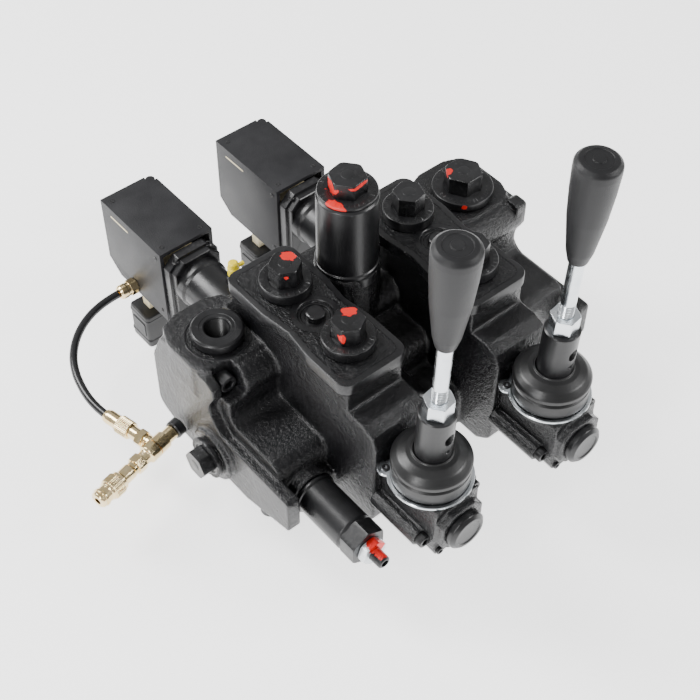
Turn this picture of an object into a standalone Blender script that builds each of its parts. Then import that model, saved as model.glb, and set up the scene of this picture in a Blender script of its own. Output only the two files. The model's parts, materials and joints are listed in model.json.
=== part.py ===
"""Two-section hydraulic monoblock valve with levers and air-operated spool actuators.

The frame's origin is the middle of the underside of the cast body. X runs along the row of
sections, from the inlet end to the outlet end. Y runs along the spools, from the levers (-Y)
to the actuators (+Y). Z is up. Sizes are in metres.
"""
import math

import bmesh
import bpy
from mathutils import Matrix, Vector

MM = 0.001

# Driving sizes of the whole valve
SPOOL_PITCH = 103.4 * MM
SPOOL_Z = 48 * MM
CORE_REAR = 60 * MM
COLUMN_FRONT = -106 * MM
INLET_END = -SPOOL_PITCH / 2 - 70.3 * MM
OUTLET_END = SPOOL_PITCH / 2 + 99.3 * MM
END_FLANGE = 10 * MM

# Clearances
GAP = 0.3 * MM
SINK = 2 * MM

# Spool and its bore
SPOOL_R = 8 * MM
SPOOL_STEM_R = 4 * MM
SPOOL_GROOVE_R = 5 * MM
SPOOL_NOSE = 12.5 * MM
SPOOL_GROOVES = (-70 * MM, -22 * MM, 26 * MM)
SPOOL_GROOVE_HALF = 6 * MM
SPOOL_LAND_END = CORE_REAR - 8 * MM

# Cast body
COLUMN_HALF = 22.5 * MM
COLUMN_TOP = 118 * MM
SHOULDER_TOP = 98 * MM
CORE_TOP = 86 * MM
WALL_Y = -9 * MM
STEP_Z = 51 * MM
STEP_FRONT = -60 * MM
MIDDLE_STEP_Z = 66 * MM
MIDDLE_STEP_FRONT = -42 * MM
MIDDLE_APRON_Z = 38 * MM
MIDDLE_APRON_FRONT = -76 * MM
FLANGE_TOP = 87.5 * MM
FLANGE_LOW = 1 * MM
FLANGE_FOOT_TOP = 42 * MM
FLANGE_FOOT_FRONT = -79 * MM
GALLERY_Y = 2.3 * MM
GALLERY_Z = 76.3 * MM
GALLERY_R = 13.4 * MM
EAR_FRONT = -10 * MM
EAR_REAR = 3 * MM
EAR_TOP = 92 * MM
CAST_EDGE_R = 8 * MM
CAST_RIDGE_R = 6 * MM
CAST_FILLET_R = 7 * MM
COLUMN_FOOT = 12 * MM
COLUMN_LOW = 3 * MM
MIDDLE_BOSS_OUT = 28.5 * MM
MIDDLE_BOSS_Z = 52 * MM
MIDDLE_BOSS_R = 22 * MM
MIDDLE_BOSS_FRONT = MIDDLE_APRON_FRONT - 4 * MM
MIDDLE_RECESS_R = 17 * MM
MIDDLE_RECESS = 14 * MM

# Work-port pads and their plugs
PAD_TOP = 123.5 * MM
PAD_THICKNESS = 9 * MM
PAD_HALF = 26 * MM
PAD_WAIST_HALF = 23.5 * MM
PAD_FRONT = -81 * MM
PAD_REAR = 41 * MM
PORT_A_Y = 9 * MM
PORT_B_Y = -53 * MM
CHECK_Y = -21 * MM
PORT_PLUG_FLANGE_R = 17.2 * MM
PORT_PLUG_FLANGE = 8.5 * MM
PORT_PLUG_HEX = 19 * MM
PORT_PLUG_HEX_TALL = 13 * MM
PORT_PLUG_THREAD_R = 10.5 * MM
PORT_PLUG_THREAD = 18 * MM
PASSAGE_R = 5 * MM

# Load-check caps, springs and poppets
CHECK_RECESS_R = 11.75 * MM
CHECK_RECESS = 3 * MM
CHECK_CAP_R = 6.5 * MM
CHECK_CAP_TALL = 11 * MM
CHECK_SPRING_R = 4.4 * MM
CHECK_WIRE_R = 0.6 * MM
CHECK_SPRING_TALL = 11 * MM
CHECK_POPPET_R = 6.2 * MM
CHECK_POPPET_TALL = 11 * MM
CHECK_SOCKET_HEX = 6 * MM
CHECK_CONE = 4 * MM

# Inlet and outlet ports
END_PORT_Y = 28 * MM
INLET_PORT_X = -SPOOL_PITCH / 2 - 42.3 * MM
OUTLET_PORT_X = SPOOL_PITCH / 2 + 70.3 * MM
END_PAD_TOP = 91 * MM
END_PAD_HALF_X = 29 * MM
END_PAD_REAR = 62 * MM
END_PAD_FRONT = 3 * MM
BUSH_R = 17.8 * MM
BUSH_HOLE_R = 7.8 * MM
BUSH_TALL = 8 * MM
BUSH_THREAD_R = 13 * MM
BUSH_THREAD = 18 * MM
OUTLET_PLUG_R = 22 * MM
OUTLET_PLUG_FLANGE = 7 * MM
OUTLET_PLUG_HEX = 24 * MM
OUTLET_PLUG_HEX_TALL = 13 * MM
OUTLET_PLUG_THREAD_R = 15 * MM
OUTLET_PLUG_THREAD = 20 * MM

# Compensator tower
TOWER_Y = 10 * MM
TOWER_PLATE_TOP = 115 * MM
TOWER_PLATE = 9 * MM
TOWER_PLATE_HALF_X = 30 * MM
TOWER_PLATE_HALF_Y = 27 * MM
TOWER_THREAD = 16 * MM
TOWER_DRILL_R = 6 * MM
TOWER_R = 20.4 * MM
TOWER_TOP = 174 * MM
TOWER_BORE_R = 11 * MM
TOWER_PLUG_R = 19.6 * MM
TOWER_PLUG_FLANGE = 3.2 * MM
TOWER_PLUG_HEX = 22 * MM
TOWER_PLUG_HEX_TALL = 11 * MM
TOWER_PLUG_THREAD = 16 * MM

# Relief valve cartridge
RELIEF_X = -SPOOL_PITCH / 2 - 41.3 * MM
RELIEF_Z = 20 * MM
RELIEF_BOSS_R = 18 * MM
RELIEF_BOSS_FRONT = -68 * MM
RELIEF_BARREL_R = 14 * MM
RELIEF_BARREL = 42 * MM
RELIEF_HEX = 25 * MM
RELIEF_HEX_LONG = 13 * MM
RELIEF_THREAD_R = 9.5 * MM
RELIEF_THREAD = 30 * MM
RELIEF_BORE_R = 6.5 * MM
RELIEF_NUT_HEX = 17 * MM
RELIEF_NUT_LONG = 6 * MM
RELIEF_SCREW_R = 4.8 * MM
RELIEF_SCREW_OUT = 16 * MM
RELIEF_SCREW_IN = 36 * MM
RELIEF_SOCKET_HEX = 5 * MM
RELIEF_SEAT_R = 3.5 * MM
RELIEF_POPPET_LONG = 9 * MM
RELIEF_SPRING_R = 4.4 * MM
RELIEF_WIRE_R = 0.9 * MM

# Blanking plug low on the inlet end
END_PLUG_Y = 0 * MM
END_PLUG_Z = 18 * MM
END_BOSS_R = 20 * MM
END_BOSS = 4 * MM
END_PLUG_R = 15 * MM
END_PLUG_FLANGE = 4 * MM
END_PLUG_HEX = 19 * MM
END_PLUG_HEX_LONG = 9 * MM
END_PLUG_THREAD_R = 9 * MM
END_PLUG_THREAD = 18 * MM

# Lever box, its lugs and its screws
BOX_HALF = 17.5 * MM
BOX_LOW = 24 * MM
BOX_TOP = 71 * MM
BOX_FRONT = -157 * MM
NOSE = 6 * MM
NOSE_CAP_R = 14 * MM
NOSE_CAP = 6 * MM
BALL_Y = -132.2 * MM
SOCKET_TOP = 90 * MM
SOCKET_R = 22 * MM
BOX_LUG_R = 6.5 * MM
BOX_LUG_X = 20 * MM
BOX_LUG_LOW_Z = 38 * MM
BOX_LUG_HIGH_Z = 60 * MM
BOX_LUG_FRONT = -147 * MM

# Lever, boot and knob, measured up from the lever's ball
PIVOT_Z = 84 * MM
LEVER_BALL_R = 10 * MM
LEVER_ARM_R = 3 * MM
ARM_END_R = 4.7 * MM
LEVER_LEAN = math.radians(1.7)
HUB_LOW = 9.4 * MM
HUB_TOP = 50 * MM
HUB_R = 11.7 * MM
NUT_HEX = 17 * MM
NUT_TALL = 12 * MM
ROD_R = 4.9 * MM
ROD_IN_HUB = 14 * MM
ROD_SHOWN = 47 * MM
ROD_IN_KNOB = 14 * MM
KNOB_TALL = 79 * MM
KNOB_R = 14 * MM
KNOB_NECK_R = 6.4 * MM
BOOT_LIP_R = 25.6 * MM
BOOT_LOW = 74 * MM
BOOT_HOLE_R = 13.2 * MM
CLAMP_PLATE_R = 27.3 * MM
CLAMP_PLATE = 1.8 * MM
CLAMP_EAR_R = 5.5 * MM

# Actuator bonnet, piston and box
BONNET_FLANGE_R = 24 * MM
BONNET_FLANGE = 8 * MM
BONNET_R = 18 * MM
BONNET_BORE_R = 12 * MM
ADAPTER_FRONT = 112 * MM
ADAPTER_HALF = 21 * MM
ADAPTER_LOW = 14 * MM
ADAPTER_TOP = 73 * MM
CASE_FRONT = 125 * MM
CASE_LONG = 75 * MM
CASE_HALF = 22.5 * MM
CASE_LOW = 9 * MM
CASE_TALL = 67 * MM
CASE_WALL = 3 * MM
PISTON_FRONT = 88 * MM
PISTON_LONG = 10 * MM
PISTON_GAP = 0.4 * MM
CENTRING_SPRING_R = 7.4 * MM
CENTRING_WIRE_R = 1.0 * MM
CENTRING_SPRING_FRONT = 64 * MM
CENTRING_SPRING_LONG = 14 * MM

# Electrical plug under each actuator box
NECK_X = -15 * MM
NECK_Y = 160 * MM
NECK_SIDE = 9 * MM
PLUG_TOP = -6 * MM
PLUG_LOW = -38 * MM
PLUG_LEFT = -27.5 * MM
PLUG_RIGHT = 0.5 * MM
PLUG_FRONT = 148 * MM
PLUG_REAR = 172 * MM

# Air supply
AIR_PORT_Y = 166 * MM
AIR_PORT_Z = 15 * MM
AIR_FITTING_R = 6 * MM
AIR_FITTING_LONG = 15 * MM
HOSE_R = 3 * MM
TEE_CENTRE = Vector((-SPOOL_PITCH / 2 - 95.3 * MM, 36 * MM, 8 * MM))
TEE_TURN = math.radians(13)
TEE_R = 5.2 * MM
TEE_ARM_OPEN = 34 * MM
TEE_ARM_BODY = 17 * MM
TEE_BRANCH = 46 * MM
AIR_BORE_R = 1.9 * MM
AIR_SHANK_R = 4.8 * MM
COUPLING_LONG = 22 * MM
COUPLING_R = 8 * MM

# Capped vent port on the first bonnet
CAP_SIDE = 9.7 * MM
CAP_Y = 82 * MM
CAP_PORT_TOP = 71 * MM
CAP_R = 4.3 * MM
CAP_TALL = 12 * MM
CAP_NIPPLE_R = 1.6 * MM
CAP_NIPPLE = 9 * MM

# Screws at the ends of the body
MOUNT_BOLT_Y = -45 * MM
MOUNT_BOLT_R = 4 * MM
MOUNT_BOLT_IN = 20 * MM
MOUNT_BOLT_HEAD_R = 6.5 * MM
MOUNT_BOLT_HEAD = 8 * MM
POCKET_X = -SPOOL_PITCH / 2 - 55.8 * MM
POCKET_HALF = 7 * MM
POCKET_REAR = 8 * MM
POCKET_Z = 70 * MM
POCKET_SCREW_R = 6 * MM
POCKET_SCREW_HEAD = 9 * MM
POCKET_SCREW_SHANK_R = 3.6 * MM
POCKET_SCREW_IN = 8 * MM
POCKET_SOCKET_HEX = 6 * MM

# Facets round a full turn
FINE = 20
MEDIUM = 16
COARSE = 10

# The spool pitch that the hose route below belongs to
ROUTE_PITCH = 103.4 * MM

# The air hose's centreline, from the fitting to the tee: points on one smooth curve, at most
# two diameters apart
HOSE_ROUTE = [
    (-0.0900, 0.1660, 0.0150),
    (-0.0980, 0.1658, 0.0148),
    (-0.1080, 0.1645, 0.0144),
    (-0.1190, 0.1612, 0.0138),
    (-0.1300, 0.1553, 0.0130),
    (-0.1400, 0.1468, 0.0122),
    (-0.1482, 0.1362, 0.0114),
    (-0.1540, 0.1240, 0.0106),
    (-0.1573, 0.1115, 0.0098),
    (-0.1588, 0.1000, 0.0090),
    (-0.1586, 0.0900, 0.0083),
    (-0.1576, 0.0815, 0.0080),
]

SECTIONS = {"1": -SPOOL_PITCH / 2, "2": SPOOL_PITCH / 2}
AXES = {
    "X": Matrix.Rotation(math.pi / 2, 4, "Y"),
    "Y": Matrix.Rotation(-math.pi / 2, 4, "X"),
    "Z": Matrix.Identity(4),
}

FINISHES = {
    "black_paint": ((0.012, 0.012, 0.014), 0.38, 0.0),
    "black_oxide": ((0.02, 0.02, 0.022), 0.42, 0.6),
    "dark_box": ((0.06, 0.06, 0.065), 0.5, 0.0),
    "zinc": ((0.75, 0.78, 0.8), 0.25, 1.0),
    "brass": ((0.78, 0.68, 0.45), 0.25, 1.0),
    "steel": ((0.55, 0.55, 0.56), 0.3, 1.0),
    "rubber": ((0.02, 0.02, 0.021), 0.7, 0.0),
    "knob": ((0.035, 0.035, 0.037), 0.6, 0.0),
    "black_plastic": ((0.015, 0.015, 0.016), 0.55, 0.0),
    "beige_plastic": ((0.75, 0.7, 0.52), 0.5, 0.0),
    "yellow_plastic": ((0.95, 0.75, 0.02), 0.4, 0.0),
    "hose": ((0.02, 0.02, 0.02), 0.45, 0.0),
}


def finish(name):
    """The named finish as a material, made once."""
    found = bpy.data.materials.get(name)
    if found:
        return found
    colour, rough, metal = FINISHES[name]
    made = bpy.data.materials.new(name)
    made.use_nodes = True
    shader = made.node_tree.nodes["Principled BSDF"]
    shader.inputs["Base Color"].default_value = (*colour, 1.0)
    shader.inputs["Roughness"].default_value = rough
    shader.inputs["Metallic"].default_value = metal
    return made


def solid(name, bm, at=(0, 0, 0)):
    """A mesh object holding the bmesh, with its origin at the given point."""
    bmesh.ops.remove_doubles(bm, verts=bm.verts, dist=1e-6)
    bmesh.ops.recalc_face_normals(bm, faces=bm.faces)
    mesh = bpy.data.meshes.new(name)
    bm.to_mesh(mesh)
    bm.free()
    mesh.shade_smooth()
    mesh.set_sharp_from_angle(angle=math.radians(35))
    made = bpy.data.objects.new(name, mesh)
    made.location = at
    bpy.context.scene.collection.objects.link(made)
    return made


def turned(profile, axis="Z", at=(0, 0, 0), facets=MEDIUM, name="turned"):
    """A solid turned from (radius, height) points; it closes on the axis or on its first point."""
    bm = bmesh.new()
    points = [bm.verts.new((radius, 0, height)) for radius, height in profile]
    edges = [bm.edges.new(pair) for pair in zip(points, points[1:])]
    if profile[0][0] > 0:
        edges.append(bm.edges.new((points[-1], points[0])))
    bmesh.ops.spin(bm, geom=points + edges, cent=(0, 0, 0), axis=(0, 0, 1),
                   angle=2 * math.pi, steps=facets, use_merge=True)
    bmesh.ops.transform(bm, matrix=AXES[axis], verts=bm.verts)
    return solid(name, bm, at)


def cylinder(radius, low, high, axis="Z", at=(0, 0, 0), facets=MEDIUM):
    return turned([(0, low), (radius, low), (radius, high), (0, high)], axis, at, facets)


def tube(outer, inner, low, high, axis="Z", at=(0, 0, 0), facets=MEDIUM):
    profile = [(inner, low), (outer, low), (outer, high), (inner, high)]
    return turned(profile, axis, at, facets)


def prism(outline, low, high, axis="Z", at=(0, 0, 0)):
    """An outline extruded along an axis: (x, y) along Z, (y, z) along X and (x, z) along Y."""
    place = {
        "Z": lambda a, b: (a, b, low),
        "X": lambda a, b: (low, a, b),
        "Y": lambda a, b: (a, low, b),
    }[axis]
    step = {"Z": (0, 0, 1), "X": (1, 0, 0), "Y": (0, 1, 0)}[axis]
    bm = bmesh.new()
    face = bm.faces.new([bm.verts.new(place(a, b)) for a, b in outline])
    raised = bmesh.ops.extrude_face_region(bm, geom=[face], use_keep_orig=True)
    moved = [item for item in raised["geom"] if isinstance(item, bmesh.types.BMVert)]
    bmesh.ops.translate(bm, verts=moved, vec=Vector(step) * (high - low))
    return solid("prism", bm, at)


def block(x, y, z):
    """A box between the two values of each axis."""
    return prism([(x[0], y[0]), (x[1], y[0]), (x[1], y[1]), (x[0], y[1])], z[0], z[1])


def rounded(corners, steps=2):
    """An outline through (a, b, radius) corners, each corner replaced by a tangent arc."""
    points = []
    for index, (a, b, radius) in enumerate(corners):
        here = Vector((a, b))
        if radius <= 0:
            points.append((a, b))
            continue
        before = Vector(corners[index - 1][:2]) - here
        after = Vector(corners[(index + 1) % len(corners)][:2]) - here
        half = before.angle(after) / 2
        centre = here + (before.normalized() + after.normalized()).normalized() * (radius / math.sin(half))
        start = here + before.normalized() * (radius / math.tan(half)) - centre
        end = here + after.normalized() * (radius / math.tan(half)) - centre
        sweep = start.angle_signed(end)
        for number in range(steps + 1):
            turn = Matrix.Rotation(-sweep * number / steps, 2)
            point = centre + turn @ start
            points.append((point.x, point.y))
    return points


def hexagon(across_flats, turn=0.0):
    radius = across_flats / math.sqrt(3)
    angles = [math.radians(60 * number) + turn for number in range(6)]
    return [(radius * math.cos(angle), radius * math.sin(angle)) for angle in angles]


def hex_bar(across_flats, low, high, axis="Z", at=(0, 0, 0), turn=0.0):
    return prism(hexagon(across_flats, turn), low, high, axis, at)


def helix(radius, wire_r, low, high, turns, axis, at, name):
    """A round-wire coil spring: a ring of wire carried along a helix, with flat-cut ends."""
    per_turn = 7
    sides = 4
    total = int(per_turn * turns)
    bm = bmesh.new()
    rings = []
    for number in range(total + 1):
        angle = 2 * math.pi * number / per_turn
        height = low + wire_r + (high - low - 2 * wire_r) * number / total
        ring = []
        for side in range(sides):
            around = 2 * math.pi * side / sides
            reach = radius + wire_r * math.cos(around)
            rise = height + wire_r * math.sin(around)
            ring.append(bm.verts.new((reach * math.cos(angle), reach * math.sin(angle), rise)))
        rings.append(ring)
    for first, second in zip(rings, rings[1:]):
        for side in range(sides):
            other = (side + 1) % sides
            bm.faces.new((first[side], first[other], second[other], second[side]))
    bm.faces.new(rings[0])
    bm.faces.new(rings[-1])
    bmesh.ops.transform(bm, matrix=AXES[axis], verts=bm.verts)
    return solid(name, bm, at)


def combine(target, operation, helpers):
    """Joins helper solids to the target, or cuts them from it, with one Boolean modifier."""
    group = bpy.data.collections.new(f"{target.name}_{operation.lower()}")
    bpy.context.scene.collection.children.link(group)
    for helper in helpers:
        group.objects.link(helper)
        bpy.context.scene.collection.objects.unlink(helper)
        helper.hide_render = True
        helper.display_type = "WIRE"
    change = target.modifiers.new(operation.lower(), "BOOLEAN")
    change.operation = operation
    change.operand_type = "COLLECTION"
    change.collection = group
    change.solver = "EXACT"


def sub_part(name, finish_name, lumps, cuts=()):
    """One named piece: its lumps joined into one body, less its cuts."""
    made = lumps[0]
    made.name = name
    made.data.name = name
    made.data.materials.append(finish(finish_name))
    if len(lumps) > 1:
        combine(made, "UNION", lumps[1:])
    if cuts:
        combine(made, "DIFFERENCE", cuts)
    return made


def pad_outline(x):
    """A dog-bone pad: full width at both plugs and a waist between them."""
    round_r = 9 * MM
    waist_r = 14 * MM
    waist_y = (PORT_A_Y + PORT_B_Y) / 2
    return rounded([
        (x - PAD_HALF, PAD_FRONT, round_r),
        (x + PAD_HALF, PAD_FRONT, round_r),
        (x + PAD_HALF, PORT_B_Y + round_r, waist_r),
        (x + PAD_WAIST_HALF, waist_y, waist_r),
        (x + PAD_HALF, PORT_A_Y - round_r, waist_r),
        (x + PAD_HALF, PAD_REAR, round_r),
        (x - PAD_HALF, PAD_REAR, round_r),
        (x - PAD_HALF, PORT_A_Y - round_r, waist_r),
        (x - PAD_WAIST_HALF, waist_y, waist_r),
        (x - PAD_HALF, PORT_B_Y + round_r, waist_r),
    ])


def column_outline():
    """Side view of one section's column: pad neck on top, shoulder in front, bonnet seat behind."""
    edge = CAST_EDGE_R
    return rounded([
        (CORE_REAR, COLUMN_FOOT, 0),
        (CORE_REAR, SPOOL_Z + BONNET_FLANGE_R + SINK, edge),
        (PAD_REAR - SINK, COLUMN_TOP - 2 * edge, edge),
        (PAD_REAR - SINK, COLUMN_TOP, 0),
        (PAD_FRONT + SINK, COLUMN_TOP, 0),
        (PAD_FRONT + SINK, SHOULDER_TOP, 0),
        (COLUMN_FRONT, SHOULDER_TOP, 1.6 * edge),
        (COLUMN_FRONT, COLUMN_FOOT, edge),
        (COLUMN_FRONT + COLUMN_FOOT, COLUMN_LOW, 0),
        (CORE_REAR - COLUMN_FOOT, COLUMN_LOW, 0),
    ])


def core_outline(step_z, step_front, apron=()):
    """Side view of the cast body between columns: flat top, wall, step, apron and front face."""
    ridge = CAST_RIDGE_R
    front = apron[-1][0] if apron else step_front
    return rounded([
        (CORE_REAR, 0, 2 * MM),
        (CORE_REAR, CORE_TOP, ridge),
        (WALL_Y, CORE_TOP, ridge),
        (WALL_Y, step_z, CAST_FILLET_R),
        (step_front, step_z, 1.4 * ridge),
        *apron,
        (front, 0, 2 * MM),
    ])


def flange_outline():
    """Side view of an end flange: tall at the port, with a low foot reaching forwards."""
    return rounded([
        (END_PAD_REAR + 4 * MM, 12 * MM, 8 * MM),
        (END_PAD_REAR + 4 * MM, FLANGE_TOP - 26 * MM, 12 * MM),
        (END_PAD_REAR - 8 * MM, FLANGE_TOP, 6 * MM),
        (WALL_Y - MM, FLANGE_TOP, 8 * MM),
        (WALL_Y + 14 * MM, 60 * MM, 10 * MM),
        (WALL_Y + 2 * MM, FLANGE_FOOT_TOP, 10 * MM),
        (FLANGE_FOOT_FRONT, FLANGE_FOOT_TOP, 3 * MM),
        (FLANGE_FOOT_FRONT, 13 * MM, 3 * MM),
        (FLANGE_FOOT_FRONT + 45 * MM, FLANGE_LOW, 4 * MM),
        (END_PAD_REAR - 22 * MM, FLANGE_LOW, 4 * MM),
    ])


def end_pad(x):
    """The machined pad round an end port, a rounded rectangle."""
    return prism(rounded([
        (x - END_PAD_HALF_X, END_PAD_FRONT, 14 * MM),
        (x + END_PAD_HALF_X, END_PAD_FRONT, 14 * MM),
        (x + END_PAD_HALF_X, END_PAD_REAR, 18 * MM),
        (x - END_PAD_HALF_X, END_PAD_REAR, 18 * MM),
    ]), CORE_TOP - 24 * MM, END_PAD_TOP)


def outlet_ear():
    """A small lifting ear on the outlet flange's top front corner."""
    corner = 3 * MM
    return prism(rounded([
        (EAR_REAR, FLANGE_TOP - 2 * CAST_EDGE_R, 0),
        (EAR_REAR, EAR_TOP, corner),
        (EAR_FRONT, EAR_TOP, corner),
        (EAR_FRONT, FLANGE_TOP - 2 * CAST_EDGE_R, 0),
    ]), OUTLET_END - END_FLANGE - MM, OUTLET_END - MM / 2, "X")


def tower_plate():
    """The diamond collar plate that the tower stands on, and the cast column below it."""
    tip_r = 12 * MM
    plate = prism(rounded([
        (0, TOWER_Y - TOWER_PLATE_HALF_Y, tip_r),
        (TOWER_PLATE_HALF_X, TOWER_Y, CAST_EDGE_R),
        (0, TOWER_Y + TOWER_PLATE_HALF_Y, tip_r),
        (-TOWER_PLATE_HALF_X, TOWER_Y, CAST_EDGE_R),
    ]), TOWER_PLATE_TOP - TOWER_PLATE, TOWER_PLATE_TOP)
    column = cylinder(TOWER_R + SINK, CORE_TOP - 10 * MM, TOWER_PLATE_TOP - SINK, at=(0, TOWER_Y, 0))
    return [plate, column]


def valve_body():
    left, right = SECTIONS["1"], SECTIONS["2"]
    apron = [(MIDDLE_STEP_FRONT, MIDDLE_APRON_Z, 3 * MM), (MIDDLE_APRON_FRONT, MIDDLE_APRON_Z, CAST_EDGE_R)]
    boss_place = (left + MIDDLE_BOSS_OUT, 0, MIDDLE_BOSS_Z)
    inlet_core_end = INLET_END + END_FLANGE - SINK
    outlet_core_end = OUTLET_END - END_FLANGE + SINK
    lumps = [
        prism(core_outline(STEP_Z, STEP_FRONT), inlet_core_end, left, "X"),
        prism(core_outline(MIDDLE_STEP_Z, MIDDLE_STEP_FRONT, apron), left, right, "X"),
        prism(core_outline(STEP_Z, STEP_FRONT), right, outlet_core_end, "X"),
        prism(flange_outline(), INLET_END, INLET_END + END_FLANGE, "X"),
        prism(flange_outline(), OUTLET_END - END_FLANGE, OUTLET_END, "X"),
        end_pad(INLET_PORT_X),
        end_pad(OUTLET_PORT_X),
        outlet_ear(),
        cylinder(GALLERY_R, POCKET_X + POCKET_HALF + MM, OUTLET_END - END_FLANGE / 2, "X",
                 (0, GALLERY_Y, GALLERY_Z), FINE),
        cylinder(END_BOSS_R, INLET_END - END_BOSS, INLET_END + SINK, "X", (0, END_PLUG_Y, END_PLUG_Z)),
        cylinder(RELIEF_BOSS_R, RELIEF_BOSS_FRONT, STEP_FRONT + 8 * MM, "Y", (RELIEF_X, 0, RELIEF_Z)),
        cylinder(MIDDLE_BOSS_R, MIDDLE_BOSS_FRONT, WALL_Y - 8 * MM, "Y", boss_place),
    ]
    lumps += tower_plate()
    for x in SECTIONS.values():
        lumps.append(prism(column_outline(), x - COLUMN_HALF, x + COLUMN_HALF, "X"))
        lumps.append(prism(pad_outline(x), PAD_TOP - PAD_THICKNESS, PAD_TOP))
    return sub_part("valve_body", "black_paint", lumps, body_cuts())


def body_cuts():
    """Spool bores, port bores, check seats, cartridge bores and screw holes."""
    left = SECTIONS["1"]
    cuts = [
        cylinder(BUSH_THREAD_R + GAP, END_PAD_TOP - BUSH_THREAD - SINK, END_PAD_TOP + SINK,
                 at=(INLET_PORT_X, END_PORT_Y, 0)),
        cylinder(OUTLET_PLUG_THREAD_R + GAP, END_PAD_TOP - OUTLET_PLUG_THREAD - SINK,
                 END_PAD_TOP + SINK, at=(OUTLET_PORT_X, END_PORT_Y, 0)),
        cylinder(TOWER_BORE_R + GAP, SPOOL_Z, TOWER_PLATE_TOP + SINK, at=(0, TOWER_Y, 0)),
        cylinder(RELIEF_THREAD_R + GAP, RELIEF_BOSS_FRONT - SINK,
                 RELIEF_BOSS_FRONT + RELIEF_THREAD + SINK, "Y", (RELIEF_X, 0, RELIEF_Z)),
        cylinder(END_PLUG_THREAD_R + GAP, INLET_END - END_BOSS - SINK,
                 INLET_END - END_BOSS + END_PLUG_THREAD + SINK, "X", (0, END_PLUG_Y, END_PLUG_Z)),
        cylinder(MIDDLE_RECESS_R, MIDDLE_BOSS_FRONT - SINK, MIDDLE_BOSS_FRONT + MIDDLE_RECESS, "Y",
                 (left + MIDDLE_BOSS_OUT, 0, MIDDLE_BOSS_Z)),
        block((POCKET_X - POCKET_HALF, POCKET_X + POCKET_HALF),
              (WALL_Y - 10 * MM, POCKET_REAR), (POCKET_Z, END_PAD_TOP + SINK)),
        cylinder(POCKET_SCREW_SHANK_R + GAP, POCKET_REAR - SINK, POCKET_REAR + POCKET_SCREW_IN + SINK, "Y",
                 (POCKET_X, 0, POCKET_Z + POCKET_SCREW_R + 2 * MM), COARSE),
    ]
    for x in SECTIONS.values():
        cuts.append(cylinder(SPOOL_R + GAP, COLUMN_FRONT - SINK, CORE_REAR + SINK, "Y", (x, 0, SPOOL_Z)))
        cuts += port_cuts(x)
    for x in mount_bolt_places():
        cuts.append(cylinder(MOUNT_BOLT_R + GAP, -SINK, MOUNT_BOLT_IN + SINK,
                             at=(x, MOUNT_BOLT_Y, 0), facets=COARSE))
    return cuts


def port_cuts(x):
    """Threaded work ports, the check seat between them and the passages down to the spool."""
    cuts = []
    for y in (PORT_A_Y, PORT_B_Y):
        cuts.append(cylinder(PORT_PLUG_THREAD_R + GAP, PAD_TOP - PORT_PLUG_THREAD - SINK,
                             PAD_TOP + SINK, at=(x, y, 0)))
        cuts.append(cylinder(PASSAGE_R, SPOOL_Z, PAD_TOP - PORT_PLUG_THREAD, at=(x, y, 0), facets=COARSE))
    cuts.append(cylinder(CHECK_RECESS_R, PAD_TOP - CHECK_RECESS, PAD_TOP + SINK, at=(x, CHECK_Y, 0)))
    cuts.append(cylinder(CHECK_CAP_R + GAP, check_seat_z(), PAD_TOP, at=(x, CHECK_Y, 0)))
    cuts.append(cylinder(PASSAGE_R - MM, SPOOL_Z, check_seat_z() + SINK, at=(x, CHECK_Y, 0), facets=COARSE))
    return cuts


def check_cap_top():
    return PAD_TOP - MM


def check_spring_top():
    return check_cap_top() - CHECK_CAP_TALL - GAP


def check_poppet_top():
    return check_spring_top() - CHECK_SPRING_TALL - GAP


def check_seat_z():
    return check_poppet_top() - CHECK_POPPET_TALL - GAP


def box_lug_places(x):
    return [(x - BOX_LUG_X, 0, BOX_LUG_LOW_Z), (x + BOX_LUG_X, 0, BOX_LUG_HIGH_Z)]


def mount_bolt_places():
    return [INLET_END + END_FLANGE, OUTLET_END - END_FLANGE]


def hex_plug(name, at, axis, flange, hexagon_size, thread):
    """A plug: thread below its seat, round flange, hexagon on top. Heights run out of the port."""
    flange_r, flange_tall = flange
    hex_flats, hex_tall = hexagon_size
    thread_r, thread_long = thread
    edge = 1.2 * MM
    seat = GAP
    out = -1 if axis == "-X" else 1
    way = axis[-1]
    profile = [(0, -thread_long), (thread_r - edge, -thread_long), (thread_r, -thread_long + edge),
               (thread_r, seat), (flange_r, seat), (flange_r, seat + flange_tall - edge),
               (flange_r - edge, seat + flange_tall), (0, seat + flange_tall)]
    profile = [(radius, out * height) for radius, height in profile]
    low, high = sorted((out * (seat + flange_tall - 1 * MM), out * (seat + flange_tall + hex_tall)))
    lumps = [turned(profile, way, at, MEDIUM), hex_bar(hex_flats, low, high, way, at)]
    return sub_part(name, "black_oxide", lumps)


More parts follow.
